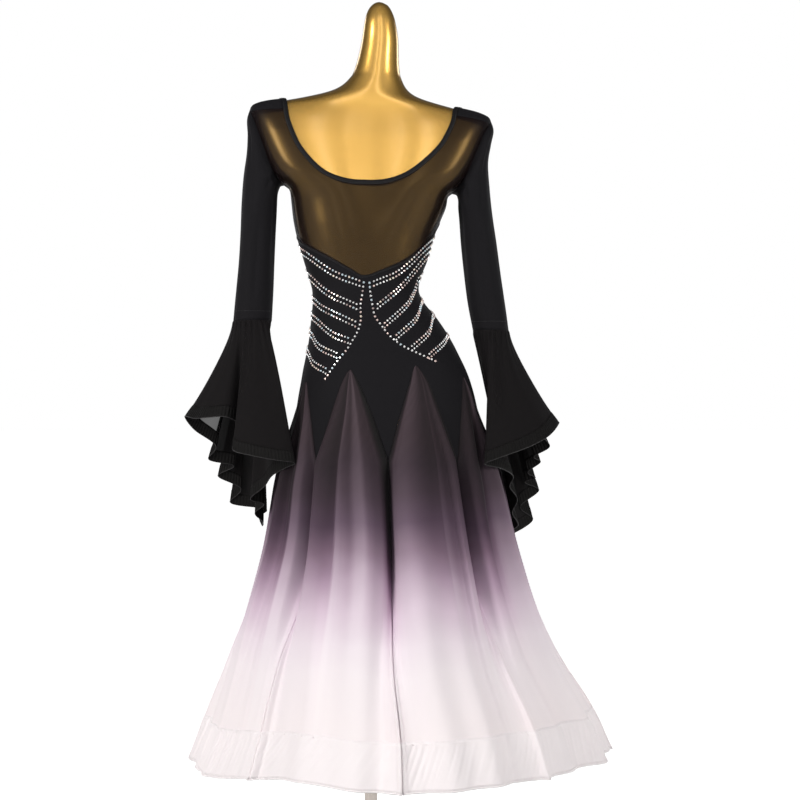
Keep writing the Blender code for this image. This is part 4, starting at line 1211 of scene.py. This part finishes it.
def flounce_rings(side, table, cuff, flare_of, finer, shares):
    """Rings of a flounce at shares of the way from its cuff to its band: 1 is the band's start."""
    outer_x, cuff_z, inner_x, _, half_depth, _ = cuff
    middle = (outer_x + inner_x) / 2
    rows = np.array(table, float)
    turns = rows[:, 0]
    shifted = np.concatenate([turns, turns[:1] + 360, turns[1:2] + 360])
    count = len(rows) * finer
    hem = smooth_line(rows[:, 1:], count, closed=True)
    at = np.arange(count) / finer
    turn = np.interp(at, np.arange(len(turns) + 1), shifted[:-1])
    angle = np.radians(turn)
    top = np.stack([
        middle + side * abs(outer_x - inner_x) / 2 * np.cos(angle),
        -half_depth * np.sin(angle),
        np.full(count, float(cuff_z)),
    ], axis=-1)
    edge = 1 - FLOUNCE_BAND / np.linalg.norm(hem - top, axis=1)
    rings = []
    for share in shares:
        down = edge * share if share <= 1 else edge + (1 - edge) * (share - 1)
        flare = down ** (flare_of[0] + flare_of[1] * np.cos(angle) + flare_of[2] * np.sin(angle))
        level = top[:, :2] + (hem - top)[:, :2] * flare[:, None]
        rings.append(np.concatenate([level, (top + (hem - top) * down[:, None])[:, 2:]], axis=1))
    return np.stack(rings), turn


def build_flounces():
    cloth, band_cloth, edge_cloth = black_georgette(), stiff_band_black(), rolled_black()
    for name, side, table, cuff, flare_of in (
        ("left", -1, FLOUNCE_LEFT, SLEEVE_LEFT[-1], FLARE_LEFT),
        ("right", 1, FLOUNCE_RIGHT, SLEEVE_RIGHT[-1], FLARE_RIGHT),
    ):
        shares = np.linspace(0.0, 1.0, 44) ** 1.25
        grid, turn = flounce_rings(side, table, cuff, flare_of, 12, shares)
        normal, _ = grid_outward(grid, True, None)
        angle = np.radians(turn)[None, :]
        down = shares[:, None]
        gathers = np.sin(23 * angle + 1.4 * np.sin(3 * angle)) + 0.5 * np.sin(41 * angle + 1.0)
        push = 1.5 * gathers * np.exp(-down / 0.16) * ease(down / 0.03)
        folds = np.sin(5 * angle + 0.8) + 0.7 * np.sin(8 * angle + 2.1)
        push = push + 1.8 * folds * np.sin(math.pi * down) ** 1.5
        grid = grid + normal * (push + 0.6)[..., None]
        # the far side is one thin layer where the mouth stands open, and gathers hide the rest
        far = np.exp(-(((turn - FLOUNCE_FAR_SIDE) / 15) ** 2))[None, :] * ease((down - 0.2) / 0.3)
        near = 0.4 * np.exp(-(((turn - FLOUNCE_NEAR_PATCH) / 9) ** 2))[None, :]
        near = near * ease((0.9 - down) / 0.5)
        add_cloth("bell_flounce_" + name, [grid], cloth, 0.0, ["flounce_" + name],
                  "black_georgette", "gathered", ["long_sleeve_" + name], closed=True,
                  middle=None, sheer=np.clip(far + near, 0, 1))
        shares = np.array([1.0, 1.15, 1.4, 1.7, 1.9, 1.995])
        grid, turn = flounce_rings(side, table, cuff, flare_of, 44, shares)
        normal, _ = grid_outward(grid, True, None)
        run = lengths(grid[-1])[None, :]
        wave = np.sin(2 * math.pi * run / BAND_GATHER_PITCH + 1.5 * np.sin(run / 31))
        rise = np.sin(math.pi * (shares - 1)[:, None]) ** 0.6
        grid = grid + normal * (0.6 + 0.55 * wave * rise)[..., None]
        add_cloth("flounce_hem_" + name, [grid], band_cloth, BAND_WALL,
                  ["flounce_band_" + name], "black_georgette", "gathered",
                  ["bell_flounce_" + name], closed=True, middle=None)
        add_tube("flounce_edge_" + name, smooth_line(grid[-1], 500, closed=True), 0.9, edge_cloth,
                 sides=6)


def build_skirt():
    cloth, hem_cloth, edge_cloth = ombre_georgette(), white_hem(), rolled_white()
    hem_line = []
    for index, (name, _, _, apex, *_, slant) in enumerate(GODETS):
        spaced = np.linspace(0, 1, 113)
        share = (spaced * 0.6 + (0.5 - 0.5 * np.cos(math.pi * spaced)) * 0.4)[None, :]
        upper = apex - (apex - TONGUE_TIP) * np.linspace(0.006, 1, 40) ** 1.3
        lower = np.linspace(TONGUE_TIP, HEM_SEAM - 5, 84)[1:]
        heights = np.concatenate([upper, lower])[:, None]
        grid = lifted(godet_surface(index, share, heights), share, GODET_LIFT)
        # painted shade: fold faces and valleys get a darkening share, and the dye height is raised
        # by it so that they reach darker colours
        layers = godet_layers(index, share, heights)
        dye = heights + 26 * layers + 6 * np.sin(9 * share + index)
        add_cloth("godet_panel_" + name, [grid], cloth, CLOTH_WALL, ["godet_" + name],
                  "ombre_georgette", "hung", ["back_bodice", "front_bodice"],
                  dye=dye, layers=layers)
        share = np.linspace(0, 1, 241)[None, :]
        heights = np.linspace(HEM_SEAM + 1.0, HEM + 1.2, 15)[:, None]
        grid = godet_surface(index, share, heights)
        run = lengths(grid[-1])[None, :] + (HEM_SEAM - heights) * slant * 1.7
        phase = 2 * math.pi * run / HEM_GATHER_PITCH
        phase = phase + 2.2 * np.sin(run / 41 + index) + 1.4 * np.sin(run / 17)
        strength = 0.55 + 0.45 * np.sin(run / 63 + 1.7 * index)
        gathers = strength * np.sin(phase) + 0.35 * np.sin(0.43 * phase + 1.0)
        down = (HEM_SEAM - heights) / (HEM_SEAM - HEM)
        rise = ease(down / 0.1) * (1 - 0.55 * ease((down - 0.5) / 0.5))
        edges = ease(share / 0.02) * ease((1 - share) / 0.02)
        lift = 1.3 + 0.4 * ease(down / 0.06) + 1.35 * gathers * rise * edges
        grid = lifted(grid, share, lift[..., None])
        add_cloth("hem_panel_" + name, [grid], hem_cloth, HEM_WALL, ["hem_band_" + name],
                  "white_hem", "gathered", ["godet_panel_" + name])
        hem_line.append(grid[-1][:-1:2])
    line = np.concatenate(hem_line)
    add_tube("hem_rolled_edge", line - np.array([0, 0, 0.6]), 1.5, edge_cloth)


def stone_line(points, down=0.0, to_side=True):
    """Places of a line of stones from points given as x and z, led on round the side."""
    spots = smooth_line([(x, z - down) for x, z in points], 40)
    places = np.stack([turn_at(spots[:, 0], spots[:, 1]), spots[:, 1]], axis=-1)
    if not to_side:
        return places
    way = math.copysign(1, places[-1][0])
    kept = places[np.abs(places[:, 0]) < 82]
    step = kept[-1] - kept[-6]
    rise = np.clip(step[1] / max(abs(step[0]), 1e-6), 0.0, 0.9)
    more = np.arange(4.0, STONE_SIDE - abs(kept[-1][0]), 4.0)
    led = np.stack([kept[-1][0] + way * more, kept[-1][1] + rise * more * 0.6], axis=-1)
    return np.concatenate([kept, led])


def build_stones(diameter, spacing):
    """The stones down the two borders, and in double rows from them to the sides."""
    finish = crystal()
    lines = [stone_line(border, to_side=False) for border in STONE_BORDERS]
    for start, half_way, end, step_down in STONE_ROWS:
        lines.append(stone_line((start, half_way, end)))
        lines.append(stone_line((start, half_way, end), step_down))
    courses = []
    for places in lines:
        turn, height = places[:, 0], places[:, 1]
        outward = body_outward(turn, height)
        courses.append((body_surface(turn, height) + outward * STONE_LIFT, outward))
    tree = stone_tree()
    borders = {"Spacing": spacing * 1.22, "Diameter": diameter * 1.08, "Seed": 4, "Finish": finish}
    rows = {"Spacing": spacing, "Diameter": diameter, "Seed": 11, "Finish": finish}
    along_lines("stones_on_borders", courses[:2], tree, borders)
    along_lines("stones_in_rows", courses[2:], tree, rows)


def build_sewing(stitch):
    """Black stitches on the binding, the point and the cuffs, and white ones along the hem band."""
    black, white = thread("black_thread", "#2A272B"), thread("white_thread", "#FDFAFB")
    _, point, *_, inner, outer = bodice_lines()
    tree = stitch_tree()
    neck = inner * 0.2 + outer * 0.8
    neck = np.concatenate([neck, neck[:1] + WHOLE_TURN])
    lines = []
    for places, lift in ((neck, 2.95), (point - np.array([0, 1.9]), 2.75)):
        lines.append((on_body(places, lift), body_outward(places[:, 0], places[:, 1])))
    for side, table in ((-1, SLEEVE_LEFT), (1, SLEEVE_RIGHT)):
        grid = sleeve_grid(side, table)
        normal, _ = grid_outward(grid, True, None)
        ring = np.concatenate([grid[-4], grid[-4][:1]])
        facing = np.concatenate([normal[-4], normal[-4][:1]])
        lines.append((ring + facing * 0.35, facing))
    values = {"Spacing": stitch * STITCH_STEP, "Length": stitch}
    along_lines("black_stitches", lines, tree,
                {**values, "Thickness": 0.55 * MM, "Finish": black})
    lines = []
    share = np.linspace(0, 1, 161)
    for index in range(len(GODETS)):
        for height, lift in ((HEM_SEAM - 3.5, 2.6), (HEM + 5.5, 2.7)):
            at = np.stack([godet_surface(index, share, height + step) for step in (3, 0, -3)])
            normal, _ = grid_outward(at, False, BODY_MIDDLE)
            lines.append((at[1] + normal[1] * lift, normal[1]))
    along_lines("white_stitches", lines, tree,
                {**values, "Thickness": 0.6 * MM, "Finish": white})


# ---------------------------------------------------------------- floor, light and camera


def look_at(thing, target):
    """Turns a light so that it shines at a point."""
    direction = np.array(target, float) - np.array(thing.location[:], float)
    flat = math.hypot(direction[0], direction[1])
    thing.rotation_euler = (math.atan2(flat, -direction[2]), 0.0,
                            math.atan2(direction[1], direction[0]) - math.pi / 2)


def add_softbox(name, place, target, wide, tall, power_w, tint):
    """A rectangular lamp of this width and height in metres."""
    light = bpy.data.lights.new(name, "AREA")
    light.shape = "RECTANGLE"
    light.size, light.size_y = wide, tall
    light.energy = power_w
    light.color = tint
    made = bpy.data.objects.new(name, light)
    made.location = place
    look_at(made, target)
    bpy.context.scene.collection.objects.link(made)
    return made


def build_stage(ambient, key, fill):
    """A white floor and room, softboxes round the dress, and cards that the form reflects."""
    scene = bpy.context.scene
    scene.view_settings.view_transform = "Standard"
    floor_mesh = bpy.data.meshes.new("floor")
    floor_mesh.from_pydata([(-60, -60, 0), (60, -60, 0), (60, 60, 0), (-60, 60, 0)], [],
                           [(0, 1, 2, 3)])
    paint, _, shader = new_material("white_studio_floor", "#F4F3F2", Roughness=0.9)
    if shader:
        shader.inputs["Emission Color"].default_value = (1, 1, 1, 1)
        shader.inputs["Emission Strength"].default_value = 0.8
    floor_mesh.materials.append(paint)
    floor = bpy.data.objects.new("floor", floor_mesh)
    scene.collection.objects.link(floor)
    floor.visible_diffuse = False

    world = bpy.data.worlds.new("studio")
    scene.world = world
    world.use_nodes = True
    tree = world.node_tree
    tree.nodes.clear()
    ray = add_node(tree, "ShaderNodeLightPath")
    way = add_node(tree, "ShaderNodeTexCoord")
    split = add_node(tree, "ShaderNodeSeparateXYZ", {"Vector": way.outputs["Generated"]})
    # shiny things see a bright room behind the camera, and a dim one at the sides and above
    behind = add_node(tree, "ShaderNodeMapRange", {
        "Value": split.outputs["Y"], "From Min": 0.2, "From Max": -0.8, "To Min": 0.1,
        "To Max": 0.78})
    above = add_node(tree, "ShaderNodeMapRange", {
        "Value": split.outputs["Z"], "From Min": 0.1, "From Max": 0.8, "To Min": 1.0,
        "To Max": 0.7})
    room = add_node(tree, "ShaderNodeMath", {
        0: behind.outputs["Result"], 1: above.outputs["Result"]}, operation="MULTIPLY")
    glossy = add_node(tree, "ShaderNodeMix", {
        0: ray.outputs["Is Glossy Ray"], 2: ambient, 3: room.outputs["Value"]},
        data_type="FLOAT")
    strength = add_node(tree, "ShaderNodeMix", {
        0: ray.outputs["Is Camera Ray"], 2: glossy.outputs[0], 3: 1.0}, data_type="FLOAT")
    sky = add_node(tree, "ShaderNodeBackground", {
        "Color": (1.0, 1.0, 1.0, 1.0), "Strength": strength.outputs[0]})
    add_node(tree, "ShaderNodeOutputWorld", {"Surface": sky.outputs["Background"]})

    warm, cool = (1.0, 0.975, 0.95), (0.96, 0.98, 1.0)
    add_softbox("softbox_left", (-2.9, -2.3, 1.9), (0.0, 0.0, 0.9), 0.7, 2.0, key, warm)
    add_softbox("softbox_right", (2.9, -2.3, 1.7), (0.0, 0.0, 0.9), 0.7, 2.0, key * 0.62, warm)
    above = add_softbox("softbox_above", (0.0, -1.4, 3.3), (0.0, 0.0, 1.0), 1.4, 1.0, fill, cool)
    above.visible_glossy = False
    add_softbox("softbox_front_left", (-2.2, 2.9, 1.9), (0.0, 0.0, 1.0), 1.4, 1.6, fill, cool)
    add_softbox("softbox_front_right", (2.4, 2.7, 1.7), (0.0, 0.0, 1.0), 1.4, 1.6, fill, cool)
    for name, place, wide, tall, power_w in (
        ("card_left", (-1.05, -3.9, 1.95), 0.5, 1.1, 1.5),
        ("card_right", (1.0, -3.9, 1.75), 0.6, 0.9, 3.4),
        ("card_low_left", (-1.5, -3.5, 1.1), 0.2, 1.0, 2.4),
        ("card_low_right", (1.6, -3.4, 1.0), 0.25, 0.9, 1.6),
        ("card_tall_left", (-0.62, -4.7, 3.2), 0.34, 4.8, 15.0),
        ("card_tall_right", (0.9, -4.7, 3.2), 0.46, 4.8, 18.0),
    ):
        card = add_softbox(name, place, (0.0, 0.0, 1.3), wide, tall, power_w, (1.0, 0.98, 0.94))
        card.visible_diffuse = False

    lens = bpy.data.cameras.new("camera")
    lens.sensor_width = 36.0
    lens.lens = 105.8
    camera = bpy.data.objects.new("camera", lens)
    camera.location = (0.0537, -4.35, 0.86)
    camera.rotation_euler = (math.pi / 2, 0.0, 0.0)
    scene.collection.objects.link(camera)
    scene.camera = camera


# ---------------------------------------------------------------- add-on


class DressSizes(bpy.types.PropertyGroup):
    """Sizes of the small work."""

    stone: bpy.props.FloatProperty(
        name="Stone", description="Diameter of a stone", default=0.0040, min=0.001, max=0.02,
        unit="LENGTH")
    stone_step: bpy.props.FloatProperty(
        name="Stone step", description="From one stone to the next along a row", default=0.0064,
        min=0.002, max=0.05, unit="LENGTH")
    stitch: bpy.props.FloatProperty(
        name="Stitch", description="Length of one stitch", default=0.0024, min=0.0005,
        max=0.01, unit="LENGTH")


class DressLight(bpy.types.PropertyGroup):
    """Strengths of the studio light."""

    ambient: bpy.props.FloatProperty(
        name="Room", description="Even light from the room", default=0.27, min=0.0, max=5.0)
    key: bpy.props.FloatProperty(
        name="Softboxes", description="Power of each large softbox behind the dress",
        default=98.0, min=0.0, unit="POWER")
    fill: bpy.props.FloatProperty(
        name="Fill", description="Power of each softbox above and in front", default=18.0,
        min=0.0, unit="POWER")


class DRESS_OT_form(bpy.types.Operator):
    """Builds the dress form and its stand"""

    bl_idname = "dress.form"
    bl_label = "Dress form and stand"

    def execute(self, context):
        build_form()
        return {"FINISHED"}


class DRESS_OT_bodice(bpy.types.Operator):
    """Builds the back and front bodice, the sheer yoke and the neck binding"""

    bl_idname = "dress.bodice"
    bl_label = "Bodice"

    def execute(self, context):
        build_bodice()
        return {"FINISHED"}


class DRESS_OT_sleeves(bpy.types.Operator):
    """Builds the two long sleeves"""

    bl_idname = "dress.sleeves"
    bl_label = "Sleeves"

    def execute(self, context):
        build_sleeves()
        return {"FINISHED"}


class DRESS_OT_flounces(bpy.types.Operator):
    """Builds the two bell flounces with their hem bands"""

    bl_idname = "dress.flounces"
    bl_label = "Flounces"

    def execute(self, context):
        build_flounces()
        return {"FINISHED"}


class DRESS_OT_skirt(bpy.types.Operator):
    """Builds the eight godets, their hem bands and the rolled edge"""

    bl_idname = "dress.skirt"
    bl_label = "Skirt"

    def execute(self, context):
        build_skirt()
        return {"FINISHED"}


class DRESS_OT_stones(bpy.types.Operator):
    """Sets the stones on the back"""

    bl_idname = "dress.stones"
    bl_label = "Stones"

    def execute(self, context):
        sizes = context.scene.dress_sizes
        build_stones(sizes.stone, sizes.stone_step)
        return {"FINISHED"}


class DRESS_OT_sewing(bpy.types.Operator):
    """Lays the stitches that show"""

    bl_idname = "dress.sewing"
    bl_label = "Sewing"

    def execute(self, context):
        build_sewing(context.scene.dress_sizes.stitch)
        return {"FINISHED"}


class DRESS_OT_stage(bpy.types.Operator):
    """Builds the floor, the studio light and the camera"""

    bl_idname = "dress.stage"
    bl_label = "Floor, light and camera"

    def execute(self, context):
        light = context.scene.dress_light
        build_stage(light.ambient, light.key, light.fill)
        return {"FINISHED"}


class VIEW3D_PT_dress(bpy.types.Panel):
    """Lists the dress's sizes and the steps that build it"""

    bl_label = "Ballroom dress"
    bl_space_type = "VIEW_3D"
    bl_region_type = "UI"
    bl_category = "Dress"

    def draw(self, context):
        column = self.layout.column()
        sizes, light = context.scene.dress_sizes, context.scene.dress_light
        for name in ("stone", "stone_step", "stitch"):
            column.prop(sizes, name)
        for name in ("ambient", "key", "fill"):
            column.prop(light, name)
        for operator in OPERATORS:
            column.operator(operator.bl_idname)


OPERATORS = (
    DRESS_OT_form, DRESS_OT_bodice, DRESS_OT_sleeves, DRESS_OT_flounces, DRESS_OT_skirt,
    DRESS_OT_stones, DRESS_OT_sewing, DRESS_OT_stage,
)
CLASSES = (DressSizes, DressLight, *OPERATORS, VIEW3D_PT_dress)


def register():
    for one in CLASSES:
        bpy.utils.register_class(one)
    bpy.types.Scene.dress_sizes = bpy.props.PointerProperty(type=DressSizes)
    bpy.types.Scene.dress_light = bpy.props.PointerProperty(type=DressLight)


def unregister():
    del bpy.types.Scene.dress_light
    del bpy.types.Scene.dress_sizes
    for one in reversed(CLASSES):
        bpy.utils.unregister_class(one)


def main():
    register()
    bpy.ops.dress.form()
    bpy.ops.dress.bodice()
    bpy.ops.dress.sleeves()
    bpy.ops.dress.flounces()
    bpy.ops.dress.skirt()
    bpy.ops.dress.stones()
    bpy.ops.dress.sewing()
    bpy.ops.dress.stage()


if __name__ == "__main__":
    main()
